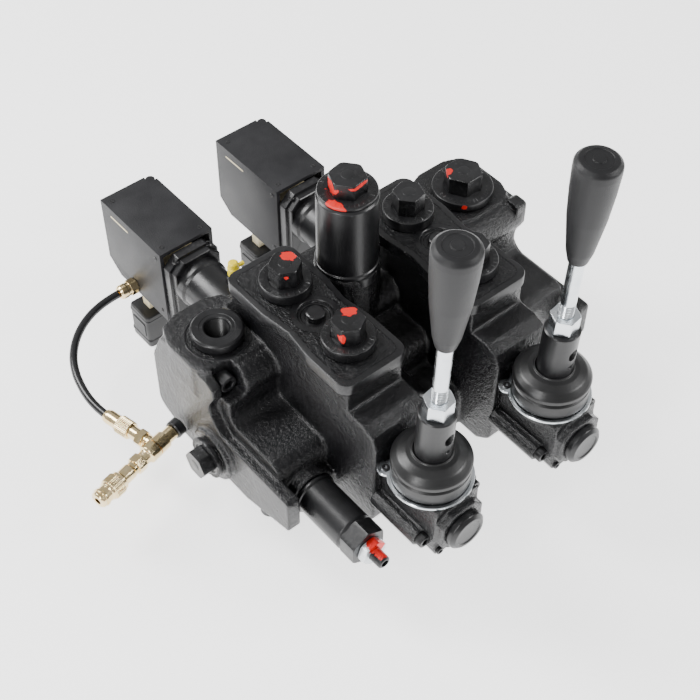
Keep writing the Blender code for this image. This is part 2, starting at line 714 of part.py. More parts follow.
def port_plugs():
    flange = (PORT_PLUG_FLANGE_R, PORT_PLUG_FLANGE)
    hexagon_size = (PORT_PLUG_HEX, PORT_PLUG_HEX_TALL)
    thread = (PORT_PLUG_THREAD_R, PORT_PLUG_THREAD)
    for number, x in SECTIONS.items():
        hex_plug(f"port_plug_a{number}", (x, PORT_A_Y, PAD_TOP), "Z", flange, hexagon_size, thread)
        hex_plug(f"port_plug_b{number}", (x, PORT_B_Y, PAD_TOP), "Z", flange, hexagon_size, thread)
    hex_plug("outlet_port_plug", (OUTLET_PORT_X, END_PORT_Y, END_PAD_TOP), "Z",
             (OUTLET_PLUG_R, OUTLET_PLUG_FLANGE), (OUTLET_PLUG_HEX, OUTLET_PLUG_HEX_TALL),
             (OUTLET_PLUG_THREAD_R, OUTLET_PLUG_THREAD))
    hex_plug("end_port_plug", (INLET_END - END_BOSS, END_PLUG_Y, END_PLUG_Z), "-X",
             (END_PLUG_R, END_PLUG_FLANGE), (END_PLUG_HEX, END_PLUG_HEX_LONG),
             (END_PLUG_THREAD_R, END_PLUG_THREAD))
    hex_plug("tower_plug", (0, TOWER_Y, TOWER_TOP), "Z", (TOWER_PLUG_R, TOWER_PLUG_FLANGE),
             (TOWER_PLUG_HEX, TOWER_PLUG_HEX_TALL), (TOWER_BORE_R, TOWER_PLUG_THREAD))


def inlet_port_bush():
    """The threaded bush in the inlet port; a hose end screws into its hole."""
    edge = 1.2 * MM
    top = GAP + BUSH_TALL
    profile = [(BUSH_HOLE_R, -BUSH_THREAD), (BUSH_THREAD_R, -BUSH_THREAD), (BUSH_THREAD_R, GAP),
               (BUSH_R, GAP), (BUSH_R, top - edge), (BUSH_R - edge, top), (BUSH_HOLE_R, top)]
    made = turned(profile, "Z", (INLET_PORT_X, END_PORT_Y, END_PAD_TOP), FINE)
    return sub_part("inlet_port_bush", "black_oxide", [made])


def load_check(number, x):
    """One load check: a screwed cap with a hex socket, its spring and the poppet it closes."""
    place = (x, CHECK_Y, 0)
    cap_top = check_cap_top()
    cap = cylinder(CHECK_CAP_R, cap_top - CHECK_CAP_TALL, cap_top, at=place)
    socket = hex_bar(CHECK_SOCKET_HEX, cap_top - 5 * MM, cap_top + SINK, at=place)
    sub_part(f"load_check_cap_{number}", "black_oxide", [cap], [socket])
    spring_top = check_spring_top()
    spring = helix(CHECK_SPRING_R, CHECK_WIRE_R, spring_top - CHECK_SPRING_TALL, spring_top, 5, "Z", place,
                   f"load_check_spring_{number}")
    spring.data.materials.append(finish("steel"))
    top = check_poppet_top()
    low = top - CHECK_POPPET_TALL
    cone = CHECK_CONE
    profile = [(0, low), (CHECK_POPPET_R - cone, low), (CHECK_POPPET_R, low + cone),
               (CHECK_POPPET_R, top), (0, top)]
    sub_part(f"load_check_poppet_{number}", "steel", [turned(profile, at=place, facets=COARSE)])


def tower_sleeve():
    edge = MM
    low = TOWER_PLATE_TOP + GAP
    thread_low = low - TOWER_THREAD
    bore = TOWER_BORE_R + GAP
    profile = [(TOWER_DRILL_R, thread_low), (TOWER_BORE_R, thread_low), (TOWER_BORE_R, low), (TOWER_R, low),
               (TOWER_R, TOWER_TOP - edge), (TOWER_R - edge, TOWER_TOP), (bore, TOWER_TOP),
               (bore, TOWER_TOP - TOWER_PLUG_THREAD - SINK), (TOWER_DRILL_R, TOWER_TOP - TOWER_PLUG_THREAD - SINK)]
    return sub_part("tower_sleeve", "black_oxide", [turned(profile, at=(0, TOWER_Y, 0), facets=FINE)])


def relief_valve():
    """Cartridge, poppet, spring, adjusting screw and lock nut; lengths run forwards, along -Y."""
    at = (RELIEF_X, 0, RELIEF_Z)
    start = RELIEF_BOSS_FRONT - GAP
    inner = start + RELIEF_THREAD
    barrel_end = start - RELIEF_BARREL
    hex_end = barrel_end - RELIEF_HEX_LONG
    seat = RELIEF_SEAT_R
    seat_end = inner - 4 * MM
    chamber_end = barrel_end - 5 * MM
    barrel = turned([(0, inner), (RELIEF_THREAD_R, inner), (RELIEF_THREAD_R, start), (RELIEF_BARREL_R, start),
                     (RELIEF_BARREL_R, barrel_end), (RELIEF_BARREL_R - SINK, barrel_end - SINK),
                     (0, barrel_end - SINK)], "Y", at, MEDIUM)
    bonnet = hex_bar(RELIEF_HEX, hex_end, barrel_end - MM, "Y", at)
    screw_hole = RELIEF_SCREW_R + GAP
    hollow = turned([(0, inner + SINK), (seat, inner + SINK), (seat, seat_end), (RELIEF_BORE_R, seat_end),
                     (RELIEF_BORE_R, chamber_end), (screw_hole, chamber_end), (screw_hole, hex_end - SINK),
                     (0, hex_end - SINK)], "Y", at, COARSE)
    sub_part("relief_cartridge", "black_oxide", [barrel, bonnet], [hollow])
    nut_far = hex_end - GAP - RELIEF_NUT_LONG
    nut = hex_bar(RELIEF_NUT_HEX, nut_far, hex_end - GAP, "Y", at)
    nut_hole = cylinder(screw_hole, nut_far - SINK, hex_end + SINK, "Y", at)
    sub_part("relief_lock_nut", "zinc", [nut], [nut_hole])
    screw_inner = hex_end + RELIEF_SCREW_IN
    screw_outer = hex_end - RELIEF_SCREW_OUT
    screw = turned([(0, screw_inner), (RELIEF_SCREW_R, screw_inner), (RELIEF_SCREW_R, screw_outer + MM),
                    (RELIEF_SCREW_R - MM, screw_outer), (0, screw_outer)], "Y", at, COARSE)
    socket = hex_bar(RELIEF_SOCKET_HEX, screw_outer - SINK, screw_outer + 4 * MM, "Y", at)
    sub_part("relief_adjust_screw", "black_oxide", [screw], [socket])
    poppet_rear = seat_end - GAP
    poppet_front = poppet_rear - RELIEF_POPPET_LONG
    poppet_r = RELIEF_BORE_R - MM
    poppet = turned([(0, poppet_rear), (seat - 1.5 * MM, poppet_rear), (poppet_r, poppet_rear - 5 * MM),
                     (poppet_r, poppet_front), (0, poppet_front)], "Y", at, COARSE)
    sub_part("relief_poppet", "steel", [poppet])
    spring_rear = poppet_front - 2 * MM
    spring = helix(RELIEF_SPRING_R, RELIEF_WIRE_R, screw_inner + GAP, spring_rear, 7, "Y", at, "relief_spring")
    spring.data.materials.append(finish("steel"))


def spool(number, x):
    """The sliding spool, with lands, a slotted front end for the lever and a rear stem."""
    front = BALL_Y - SPOOL_NOSE
    front_r = SPOOL_R - MM
    half = SPOOL_GROOVE_HALF
    stem_end = PISTON_FRONT + PISTON_LONG + 3 * MM
    profile = [(0, front), (front_r, front), (front_r, COLUMN_FRONT - 4 * MM), (SPOOL_R, COLUMN_FRONT - 3 * MM)]
    for groove in SPOOL_GROOVES:
        profile += [(SPOOL_R, groove - half), (SPOOL_GROOVE_R, groove - half + MM),
                    (SPOOL_GROOVE_R, groove + half - MM), (SPOOL_R, groove + half)]
    profile += [(SPOOL_R, SPOOL_LAND_END), (SPOOL_STEM_R, SPOOL_LAND_END), (SPOOL_STEM_R, stem_end), (0, stem_end)]
    made = turned(profile, "Y", (x, 0, SPOOL_Z), COARSE)
    slot = cylinder(ARM_END_R + GAP, -8 * MM, 12 * MM, at=(x, BALL_Y, SPOOL_Z), facets=COARSE)
    return sub_part(f"spool_{number}", "steel", [made], [slot])


def lever_box(number, x):
    """The control box bolted to the column's front, hollow for the spool end and the lever's arm."""
    outline = rounded([
        (x - BOX_HALF, BOX_LOW, 7 * MM), (x + BOX_HALF, BOX_LOW, 7 * MM),
        (x + BOX_HALF, BOX_TOP, 4 * MM), (x - BOX_HALF, BOX_TOP, 4 * MM)])
    nose_half = BOX_HALF - 1 * MM
    corner = 7 * MM
    low, top = SPOOL_Z - nose_half + 3 * MM, SPOOL_Z + nose_half + 2 * MM
    nose = [(x - nose_half, low + corner), (x - nose_half + corner, low), (x + nose_half - corner, low),
            (x + nose_half, low + corner), (x + nose_half, top - corner), (x + nose_half - corner, top),
            (x - nose_half + corner, top), (x - nose_half, top - corner)]
    rear = COLUMN_FRONT - GAP
    lumps = [
        prism(outline, BOX_FRONT, rear, "Y"),
        prism(nose, BOX_FRONT - NOSE, BOX_FRONT + SINK, "Y"),
        cylinder(SOCKET_R, BOX_TOP - 10 * MM, SOCKET_TOP, at=(x, BALL_Y, 0), facets=FINE),
    ]
    cuts = [
        cylinder(SPOOL_R + MM, BOX_FRONT + 4 * MM, COLUMN_FRONT + SINK, "Y", (x, 0, SPOOL_Z)),
        cylinder(LEVER_BALL_R + 0.35 * MM, SPOOL_Z + 2 * MM, SOCKET_TOP + SINK, at=(x, BALL_Y, 0)),
    ]
    for place in box_lug_places(x):
        lumps.append(cylinder(BOX_LUG_R, BOX_LUG_FRONT, rear, "Y", place, COARSE))
    sub_part(f"lever_box_{number}", "black_paint", lumps, cuts)
    cap_face = BOX_FRONT - NOSE - GAP
    cap = turned([(0, cap_face), (NOSE_CAP_R, cap_face), (NOSE_CAP_R, cap_face - NOSE_CAP + SINK),
                  (NOSE_CAP_R - SINK, cap_face - NOSE_CAP), (0, cap_face - NOSE_CAP)],
                 "Y", (x, 0, SPOOL_Z + MM), FINE)
    sub_part(f"lever_box_cap_{number}", "black_paint", [cap])


def clamp_plate(number, x):
    """The plated steel plate clamped under the boot, with one ear towards the column."""
    low = BOX_TOP + GAP
    disc = cylinder(CLAMP_PLATE_R, low, low + CLAMP_PLATE, at=(x, BALL_Y, 0), facets=FINE)
    disc_edge_y = COLUMN_FRONT - 2 * GAP
    ear = cylinder(CLAMP_EAR_R, low, low + CLAMP_PLATE, at=(x - 19 * MM, disc_edge_y - CLAMP_EAR_R, 0), facets=COARSE)
    hole = cylinder(SOCKET_R + GAP, low - SINK, low + CLAMP_PLATE + SINK, at=(x, BALL_Y, 0), facets=FINE)
    keep_off = block((x - 2 * CLAMP_PLATE_R, x + 2 * CLAMP_PLATE_R), (disc_edge_y, 0), (low - SINK, low + 2 * SINK))
    sub_part(f"clamp_plate_{number}", "zinc", [disc, ear], [hole, keep_off])


def lever_boot(number, x):
    """The rubber boot: a skirt over the socket, a lip, and a dome up to the lever's hub."""
    low = BOOT_LOW
    skirt_r = BOOT_LIP_R - 0.6 * MM
    inner_r = SOCKET_R + 0.6 * MM
    lip_low = SOCKET_TOP - 4.5 * MM
    lip_top = SOCKET_TOP + 1.5 * MM
    profile = [(inner_r, low), (skirt_r, low), (skirt_r, lip_low - 1.5 * MM), (skirt_r - MM, lip_low - MM),
               (BOOT_LIP_R, lip_low), (BOOT_LIP_R, lip_top - MM), (BOOT_LIP_R - MM, lip_top),
               (BOOT_LIP_R - 2.5 * MM, lip_top - 0.6 * MM), (BOOT_LIP_R - 4.5 * MM, lip_top + 2 * MM),
               (17.5 * MM, lip_top + 4.6 * MM), (BOOT_HOLE_R + MM, lip_top + 6.5 * MM),
               (BOOT_HOLE_R, lip_top + 6.5 * MM), (BOOT_HOLE_R, lip_top + 4 * MM),
               (17 * MM, lip_top + 2.4 * MM), (BOOT_LIP_R - 6 * MM, lip_top), (inner_r, lip_top - MM)]
    made = turned(profile, at=(x, BALL_Y, 0), facets=MEDIUM)
    return sub_part(f"lever_boot_{number}", "rubber", [made])


def place_on_lever(piece, pivot):
    piece.parent = pivot
    return piece


def lever(number, x):
    """The lever turns on a ball; its arm reaches into the spool and its stem leans forwards."""
    pivot_place = (x, BALL_Y, PIVOT_Z)
    stem = bpy.data.objects.new(f"lever_stem_axis_{number}", None)
    stem.location = pivot_place
    stem.rotation_euler = (LEVER_LEAN, 0, 0)
    bpy.context.scene.collection.objects.link(stem)
    lever_fork(number, pivot_place, stem)
    nut_low = HUB_TOP + GAP
    nut = hex_bar(NUT_HEX, nut_low, nut_low + NUT_TALL)
    nut_hole = cylinder(ROD_R + GAP, nut_low - SINK, nut_low + NUT_TALL + SINK)
    place_on_lever(nut_hole, stem)
    place_on_lever(sub_part(f"lever_lock_nut_{number}", "zinc", [nut], [nut_hole]), stem)
    rod_low = HUB_TOP - ROD_IN_HUB
    knob_low = nut_low + NUT_TALL + ROD_SHOWN
    rod = cylinder(ROD_R, rod_low, knob_low + ROD_IN_KNOB, facets=COARSE)
    place_on_lever(sub_part(f"lever_rod_{number}", "zinc", [rod]), stem)
    lever_knob(number, knob_low, stem)


def lever_fork(number, pivot_place, stem):
    reach = PIVOT_Z - SPOOL_Z
    steps = 7
    ball = [(0, -LEVER_BALL_R)]
    for index in range(1, steps):
        angle = -math.pi / 2 + math.pi * index / steps
        ball.append((LEVER_BALL_R * math.cos(angle), LEVER_BALL_R * math.sin(angle)))
    ball.append((0, LEVER_BALL_R))
    end = [(0, -reach - ARM_END_R)]
    for index in range(1, steps):
        angle = -math.pi / 2 + math.pi * index / steps
        end.append((ARM_END_R * math.cos(angle), -reach + ARM_END_R * math.sin(angle)))
    end.append((0, -reach + ARM_END_R))
    arm = cylinder(LEVER_ARM_R, -reach, -2 * MM, at=pivot_place, facets=COARSE)
    hub = turned([(0, 2 * MM), (6 * MM, 2 * MM), (6 * MM, HUB_LOW), (HUB_R, HUB_LOW),
                  (HUB_R, HUB_TOP - MM), (HUB_R - MM, HUB_TOP), (0, HUB_TOP)], facets=FINE)
    rod_bore = cylinder(ROD_R + GAP, HUB_TOP - ROD_IN_HUB - SINK, HUB_TOP + SINK)
    tommy_hole = cylinder(2.6 * MM, -14 * MM, 14 * MM, "X", (0, 0, 26 * MM), COARSE)
    for helper in (hub, rod_bore, tommy_hole):
        place_on_lever(helper, stem)
    lumps = [turned(ball, at=pivot_place, facets=COARSE), turned(end, at=pivot_place, facets=COARSE), arm, hub]
    sub_part(f"lever_fork_{number}", "black_oxide", lumps, [rod_bore, tommy_hole])


def lever_knob(number, low, stem):
    """A tapered grip: narrow neck, swelling body and a slightly domed top."""
    profile = [(0, low), (KNOB_NECK_R, low), (KNOB_NECK_R + 1.5 * MM, low + 2 * MM), (9.4 * MM, low + 14 * MM),
               (12.2 * MM, low + 38 * MM), (KNOB_R - 0.3 * MM, low + 60 * MM),
               (KNOB_R, low + KNOB_TALL - 5 * MM), (KNOB_R - MM, low + KNOB_TALL - 2 * MM),
               (KNOB_R - 4 * MM, low + KNOB_TALL - 0.5 * MM), (0, low + KNOB_TALL)]
    knob = turned(profile, facets=MEDIUM)
    bore = place_on_lever(cylinder(ROD_R + GAP, low - SINK, low + ROD_IN_KNOB + SINK), stem)
    place_on_lever(sub_part(f"lever_knob_{number}", "knob", [knob], [bore]), stem)


def actuator_bonnet(number, x):
    """The air cylinder behind the section, with its flange, bore and adapter plate."""
    front = CORE_REAR + GAP
    rear = CASE_FRONT - GAP
    bore_end = ADAPTER_FRONT - SINK
    profile = [(BONNET_BORE_R, front), (BONNET_FLANGE_R, front), (BONNET_FLANGE_R, front + BONNET_FLANGE),
               (BONNET_R, front + BONNET_FLANGE + MM), (BONNET_R, ADAPTER_FRONT + SINK), (0, ADAPTER_FRONT + SINK),
               (0, bore_end), (BONNET_BORE_R, bore_end)]
    barrel = turned_open(profile, (x, 0, SPOOL_Z))
    chamfer = 9 * MM
    plate = prism([
        (x - ADAPTER_HALF, ADAPTER_LOW), (x + ADAPTER_HALF, ADAPTER_LOW),
        (x + ADAPTER_HALF, ADAPTER_TOP - chamfer), (x + ADAPTER_HALF - chamfer, ADAPTER_TOP),
        (x - ADAPTER_HALF + chamfer, ADAPTER_TOP), (x - ADAPTER_HALF, ADAPTER_TOP - chamfer),
    ], ADAPTER_FRONT, rear, "Y")
    lumps = [barrel, plate]
    if number == "1":
        lumps.append(cylinder(CAP_R + MM, SPOOL_Z + BONNET_BORE_R + SINK, CAP_PORT_TOP, at=(*cap_place(), 0),
                              facets=COARSE))
    sub_part(f"actuator_bonnet_{number}", "black_paint", lumps)


def turned_open(profile, at):
    """A cup turned round the Y axis: the profile starts and ends on its rim and touches the axis between."""
    bm = bmesh.new()
    points = [bm.verts.new((radius, 0, height)) for radius, height in profile]
    edges = []
    for first, second in zip(points, points[1:] + points[:1]):
        if first.co.x == 0 and second.co.x == 0:
            continue
        edges.append(bm.edges.new((first, second)))
    bmesh.ops.spin(bm, geom=points + edges, cent=(0, 0, 0), axis=(0, 0, 1), angle=2 * math.pi,
                   steps=FINE, use_merge=True)
    bmesh.ops.transform(bm, matrix=AXES["Y"], verts=bm.verts)
    return solid("cup", bm, at)


def actuator_inside(number, x):
    """The piston on the spool's stem, and the centring spring round it."""
    piston_r = BONNET_BORE_R - PISTON_GAP
    piston = tube(piston_r, SPOOL_STEM_R + GAP, PISTON_FRONT, PISTON_FRONT + PISTON_LONG, "Y",
                  (x, 0, SPOOL_Z), MEDIUM)
    sub_part(f"actuator_piston_{number}", "steel", [piston])
    spring_end = CENTRING_SPRING_FRONT + CENTRING_SPRING_LONG
    spring = helix(CENTRING_SPRING_R, CENTRING_WIRE_R, CENTRING_SPRING_FRONT, spring_end, 4, "Y",
                   (x, 0, SPOOL_Z), f"centring_spring_{number}")
    spring.data.materials.append(finish("steel"))


def actuator_box(number, x):
    """The cover box: five walls, open towards the adapter plate, with a slot for the plug's neck."""
    rear = CASE_FRONT + CASE_LONG
    top = CASE_LOW + CASE_TALL
    shell = block((x - CASE_HALF, x + CASE_HALF), (CASE_FRONT, rear), (CASE_LOW, top))
    hollow = block((x - CASE_HALF + CASE_WALL, x + CASE_HALF - CASE_WALL),
                   (CASE_FRONT - SINK, rear - CASE_WALL), (CASE_LOW + CASE_WALL, top - CASE_WALL))
    neck = NECK_SIDE / 2 + GAP
    slot = block((x + NECK_X - neck, x + NECK_X + neck), (NECK_Y - neck, NECK_Y + neck),
                 (CASE_LOW - SINK, CASE_LOW + CASE_WALL + SINK))
    corner = block((x + CASE_HALF - 7 * MM, x + CASE_HALF + SINK), (rear - 7 * MM, rear + SINK),
                   (CASE_LOW - SINK, top + SINK))
    cuts = [hollow, slot]
    lumps = [shell]
    post = cylinder(3.6 * MM, CASE_LOW, top, at=(x + CASE_HALF - 4.4 * MM, rear - 4.4 * MM, 0), facets=COARSE)
    low_edge = prism([(rear - 16 * MM, CASE_LOW - SINK), (rear + SINK, CASE_LOW - SINK),
                      (rear + SINK, CASE_LOW + 12 * MM)], x - CASE_HALF - SINK, x + CASE_HALF + SINK, "X")
    made = sub_part(f"actuator_box_{number}", "dark_box", lumps, [corner, low_edge])
    combine(made, "UNION", [post, box_corner_wall(x, rear, top)])
    combine(made, "DIFFERENCE", cuts + air_port_cut(number, x))


def box_corner_wall(x, rear, top):
    """Closes the cover behind its cut corner, inside the walls."""
    return block((x + CASE_HALF - 10 * MM, x + CASE_HALF - 6.9 * MM), (rear - 10 * MM, rear - 6.9 * MM),
                 (CASE_LOW, top))


def air_port_cut(number, x):
    if number != "1":
        return []
    return [cylinder(AIR_SHANK_R + GAP, x - CASE_HALF - SINK, x - CASE_HALF + CASE_WALL + SINK, "X",
                     (0, AIR_PORT_Y, AIR_PORT_Z), COARSE)]


def pilot_valve(number, x):
    """The pilot valve block in the box, with the moulded neck that the plug hangs on."""
    inside = CASE_WALL + 3 * MM
    low = CASE_LOW + inside
    body = block((x - CASE_HALF + inside, x + CASE_HALF - inside - 6 * MM),
                 (CASE_FRONT + 4 * MM, CASE_FRONT + CASE_LONG - 24 * MM), (low, CASE_LOW + CASE_TALL - inside - 8 * MM))
    half = NECK_SIDE / 2
    neck = block((x + NECK_X - half, x + NECK_X + half), (NECK_Y - half, NECK_Y + half),
                 (PLUG_TOP + GAP, low + SINK))
    sub_part(f"pilot_valve_{number}", "beige_plastic", [body, neck])


def connector_plug(number, x):
    """The electrical plug hanging under the box."""
    side = 2.5 * MM
    outline = rounded([(x + PLUG_LEFT, PLUG_FRONT, side), (x + PLUG_RIGHT, PLUG_FRONT, side),
                       (x + PLUG_RIGHT, PLUG_REAR, side), (x + PLUG_LEFT, PLUG_REAR, side)], 2)
    sub_part(f"connector_plug_{number}", "black_plastic", [prism(outline, PLUG_LOW, PLUG_TOP)])


def turn_with_tee(piece):
    piece.location = TEE_CENTRE
    piece.rotation_euler = (0, 0, TEE_TURN)
    return piece


def air_supply():
    """Fitting on the first box, air tee, its open coupling, and the hose between them."""
    left_face = SECTIONS["1"] - CASE_HALF
    shank = AIR_SHANK_R
    fitting = [(AIR_BORE_R, left_face + CASE_WALL), (shank, left_face + CASE_WALL), (shank, left_face - GAP),
               (AIR_FITTING_R, left_face - GAP), (AIR_FITTING_R, left_face - 6 * MM),
               (AIR_FITTING_R - MM, left_face - 7 * MM), (AIR_FITTING_R - MM, left_face - 10 * MM),
               (AIR_FITTING_R - 0.3 * MM, left_face - 11 * MM), (AIR_FITTING_R - 0.3 * MM, left_face - AIR_FITTING_LONG),
               (AIR_BORE_R, left_face - AIR_FITTING_LONG)]
    made = turned(fitting, "X", (0, AIR_PORT_Y, AIR_PORT_Z), COARSE)
    sub_part("air_fitting", "brass", [made])
    air_tee()
    coupling = turned([
        (AIR_BORE_R, -TEE_ARM_OPEN - GAP), (COUPLING_R - MM, -TEE_ARM_OPEN - GAP),
        (COUPLING_R, -TEE_ARM_OPEN - MM), (COUPLING_R, -TEE_ARM_OPEN - 12 * MM),
        (COUPLING_R - 1.5 * MM, -TEE_ARM_OPEN - 13 * MM), (COUPLING_R - 1.5 * MM, -TEE_ARM_OPEN - COUPLING_LONG),
        (AIR_BORE_R, -TEE_ARM_OPEN - COUPLING_LONG)], "X", facets=MEDIUM)
    turn_with_tee(sub_part("air_coupling", "brass", [coupling]))
    air_hose()


def air_tee():
    run = turned([
        (0, -TEE_ARM_OPEN), (TEE_R, -TEE_ARM_OPEN), (TEE_R, -TEE_ARM_OPEN + 8 * MM), (TEE_R + MM, -TEE_ARM_OPEN + 9 * MM),
        (TEE_R + MM, -10 * MM), (TEE_R + 2 * MM, -9 * MM), (TEE_R + 2 * MM, 9 * MM), (TEE_R, 10 * MM),
        (TEE_R, TEE_ARM_BODY), (0, TEE_ARM_BODY)], "X", facets=MEDIUM)
    branch = turned([
        (0, 0), (TEE_R, 0), (TEE_R, 22 * MM), (TEE_R + 1.5 * MM, 23 * MM), (TEE_R + 1.5 * MM, 34 * MM),
        (TEE_R, 35 * MM), (TEE_R, TEE_BRANCH), (0, TEE_BRANCH)], "Y", facets=MEDIUM)
    run_bore = cylinder(AIR_BORE_R, -TEE_ARM_OPEN - SINK, TEE_ARM_BODY - SINK, "X", facets=COARSE)
    branch_bore = cylinder(AIR_BORE_R, 0, TEE_BRANCH + SINK, "Y", facets=COARSE)
    for piece in (run, branch, run_bore, branch_bore):
        turn_with_tee(piece)
    sub_part("air_tee", "brass", [run, branch], [run_bore, branch_bore])
    stub_start = TEE_ARM_BODY + GAP
    stub_end = 24 * MM
    elbow = turned([(0, stub_start), (TEE_R + 1.5 * MM, stub_start), (TEE_R + 1.5 * MM, stub_end), (0, stub_end)],
                   "X", facets=COARSE)
    turn_with_tee(sub_part("body_air_stub", "black_oxide", [elbow]))


def air_hose():
    """The air hose, held at both ends: a round tube along its real route."""
    shift = Vector(((ROUTE_PITCH - SPOOL_PITCH) / 2, 0, 0))
    route = [Vector(point) + shift for point in HOSE_ROUTE]
    curve = bpy.data.curves.new("air_hose", "CURVE")
    curve.dimensions = "3D"
    curve.bevel_depth = HOSE_R
    curve.bevel_resolution = 3
    curve.use_fill_caps = True
    line = curve.splines.new("POLY")
    line.points.add(len(route) - 1)
    for point, place in zip(line.points, route):
        point.co = (*place, 1)
    made = bpy.data.objects.new("air_hose", curve)
    curve.materials.append(finish("hose"))
    bpy.context.scene.collection.objects.link(made)


def air_port_cap():
    """The yellow cap on the first bonnet's vent port, with its side nipple."""
    x, y = cap_place()
    low = CAP_PORT_TOP + GAP
    edge = 0.8 * MM
    cap = turned([(0, low), (CAP_R, low), (CAP_R, low + CAP_TALL - edge), (CAP_R - edge, low + CAP_TALL),
                  (0, low + CAP_TALL)], at=(x, y, 0), facets=COARSE)
    nipple = cylinder(CAP_NIPPLE_R, 0, CAP_NIPPLE, "X", (x, y, low + CAP_TALL / 2), COARSE)
    sub_part("air_port_cap", "yellow_plastic", [cap, nipple])


def cap_place():
    return SECTIONS["1"] + CAP_SIDE, CAP_Y


def small_screws():
    """The knurled socket screw in the pocket, and the bolts that hold the body to its bracket."""
    z = POCKET_Z + POCKET_SCREW_R + 2 * MM
    head = POCKET_REAR - GAP
    end = POCKET_REAR + POCKET_SCREW_IN
    screw = turned([(0, head - POCKET_SCREW_HEAD), (POCKET_SCREW_R, head - POCKET_SCREW_HEAD),
                    (POCKET_SCREW_R, head), (POCKET_SCREW_SHANK_R, head), (POCKET_SCREW_SHANK_R, end), (0, end)],
                   "Y", (POCKET_X, 0, z), COARSE)
    socket = hex_bar(POCKET_SOCKET_HEX, head - POCKET_SCREW_HEAD - SINK, head - POCKET_SCREW_HEAD + 5 * MM, "Y",
                     (POCKET_X, 0, z))
    sub_part("pocket_screw", "black_oxide", [screw], [socket])
    for number, x in enumerate(mount_bolt_places(), 1):
        bolt = turned([(0, -MOUNT_BOLT_HEAD), (MOUNT_BOLT_HEAD_R, -MOUNT_BOLT_HEAD), (MOUNT_BOLT_HEAD_R, -GAP),
                       (MOUNT_BOLT_R, -GAP), (MOUNT_BOLT_R, MOUNT_BOLT_IN), (0, MOUNT_BOLT_IN)],
                      "Z", (x, MOUNT_BOLT_Y, 0), COARSE)
        sub_part(f"mounting_bolt_{number}", "black_oxide", [bolt])


def build():
    for old in list(bpy.data.objects):
        bpy.data.objects.remove(old)
    valve_body()
    port_plugs()
    inlet_port_bush()
    tower_sleeve()
    relief_valve()
    for number, x in SECTIONS.items():
        load_check(number, x)
        spool(number, x)
        lever_box(number, x)
        clamp_plate(number, x)
        lever_boot(number, x)
        lever(number, x)
        actuator_bonnet(number, x)
        actuator_inside(number, x)
        actuator_box(number, x)
        pilot_valve(number, x)
        connector_plug(number, x)
    air_supply()
    air_port_cap()
    small_screws()


build()
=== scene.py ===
# %% [markdown]
# # A two-section hydraulic valve
# Two hand levers push two spools through a cast iron body. Air-operated covers at the back can push
# the same spools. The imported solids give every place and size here, and this script gives the looks.
# The scene starts from that fixed frame, so each new piece is placed by reading a solid's box.

# %% Load the frame
import json
import math

import bmesh
import bpy
import numpy as np
from mathutils import Matrix, Vector


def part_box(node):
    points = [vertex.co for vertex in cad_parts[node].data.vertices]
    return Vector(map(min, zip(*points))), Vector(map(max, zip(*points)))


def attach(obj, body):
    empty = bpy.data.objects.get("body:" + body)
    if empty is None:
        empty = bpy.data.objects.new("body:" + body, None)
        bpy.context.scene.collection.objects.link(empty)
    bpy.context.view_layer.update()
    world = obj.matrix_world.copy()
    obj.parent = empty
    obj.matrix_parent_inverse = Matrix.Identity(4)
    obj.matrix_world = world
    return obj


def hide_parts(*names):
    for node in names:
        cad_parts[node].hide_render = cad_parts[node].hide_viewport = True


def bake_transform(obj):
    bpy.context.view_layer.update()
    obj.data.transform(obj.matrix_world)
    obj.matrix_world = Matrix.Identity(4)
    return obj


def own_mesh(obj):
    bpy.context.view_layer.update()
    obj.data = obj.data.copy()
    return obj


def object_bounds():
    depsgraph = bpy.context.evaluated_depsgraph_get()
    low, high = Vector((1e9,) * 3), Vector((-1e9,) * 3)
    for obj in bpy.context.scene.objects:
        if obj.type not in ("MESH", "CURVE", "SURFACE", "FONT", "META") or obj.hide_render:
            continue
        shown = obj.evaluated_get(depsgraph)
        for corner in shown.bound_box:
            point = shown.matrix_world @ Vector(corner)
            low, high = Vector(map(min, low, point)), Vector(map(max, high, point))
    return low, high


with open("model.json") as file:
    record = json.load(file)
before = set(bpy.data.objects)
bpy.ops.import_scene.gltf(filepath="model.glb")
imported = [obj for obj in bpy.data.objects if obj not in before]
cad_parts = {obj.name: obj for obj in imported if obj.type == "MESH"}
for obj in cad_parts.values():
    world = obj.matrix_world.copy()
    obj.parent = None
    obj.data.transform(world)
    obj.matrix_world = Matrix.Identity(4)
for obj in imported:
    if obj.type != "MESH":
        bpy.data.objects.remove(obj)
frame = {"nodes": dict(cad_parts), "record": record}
cad_box = [list(map(float, corner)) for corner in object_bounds()]
MM = 0.001
SECTIONS = ("1", "2")
JOINTS = {joint["name"]: joint for joint in frame["record"]["behaviour"]["joints"]}
PIVOTS = {number: Vector(JOINTS[f"lever_{number}_tilt"]["pos_m"]) for number in SECTIONS}
LEVER_LEAN = math.radians(1.7)
print("solids:", len(frame["nodes"]), "box:", cad_box)


def centre(node):
    """The middle of a solid's box."""
    low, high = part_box(node)
    return (Vector(low) + Vector(high)) / 2


# %% [markdown]
# ## Camera
# The valve is seen from above its inlet corner, with a fairly long lens. The camera's three axes
# are worked out from an azimuth, an elevation and a small roll, which is easier to adjust than
# three Euler angles.

# %% Camera
CAMERA_PLACE = Vector((-0.4159, -0.4836, 0.7606))
CAMERA_AZIMUTH, CAMERA_ELEVATION, CAMERA_ROLL = (math.radians(a) for a in (-40.34, 48.77, 0.57))
CAMERA_LENS = 71.29
NEAREST = 0.05


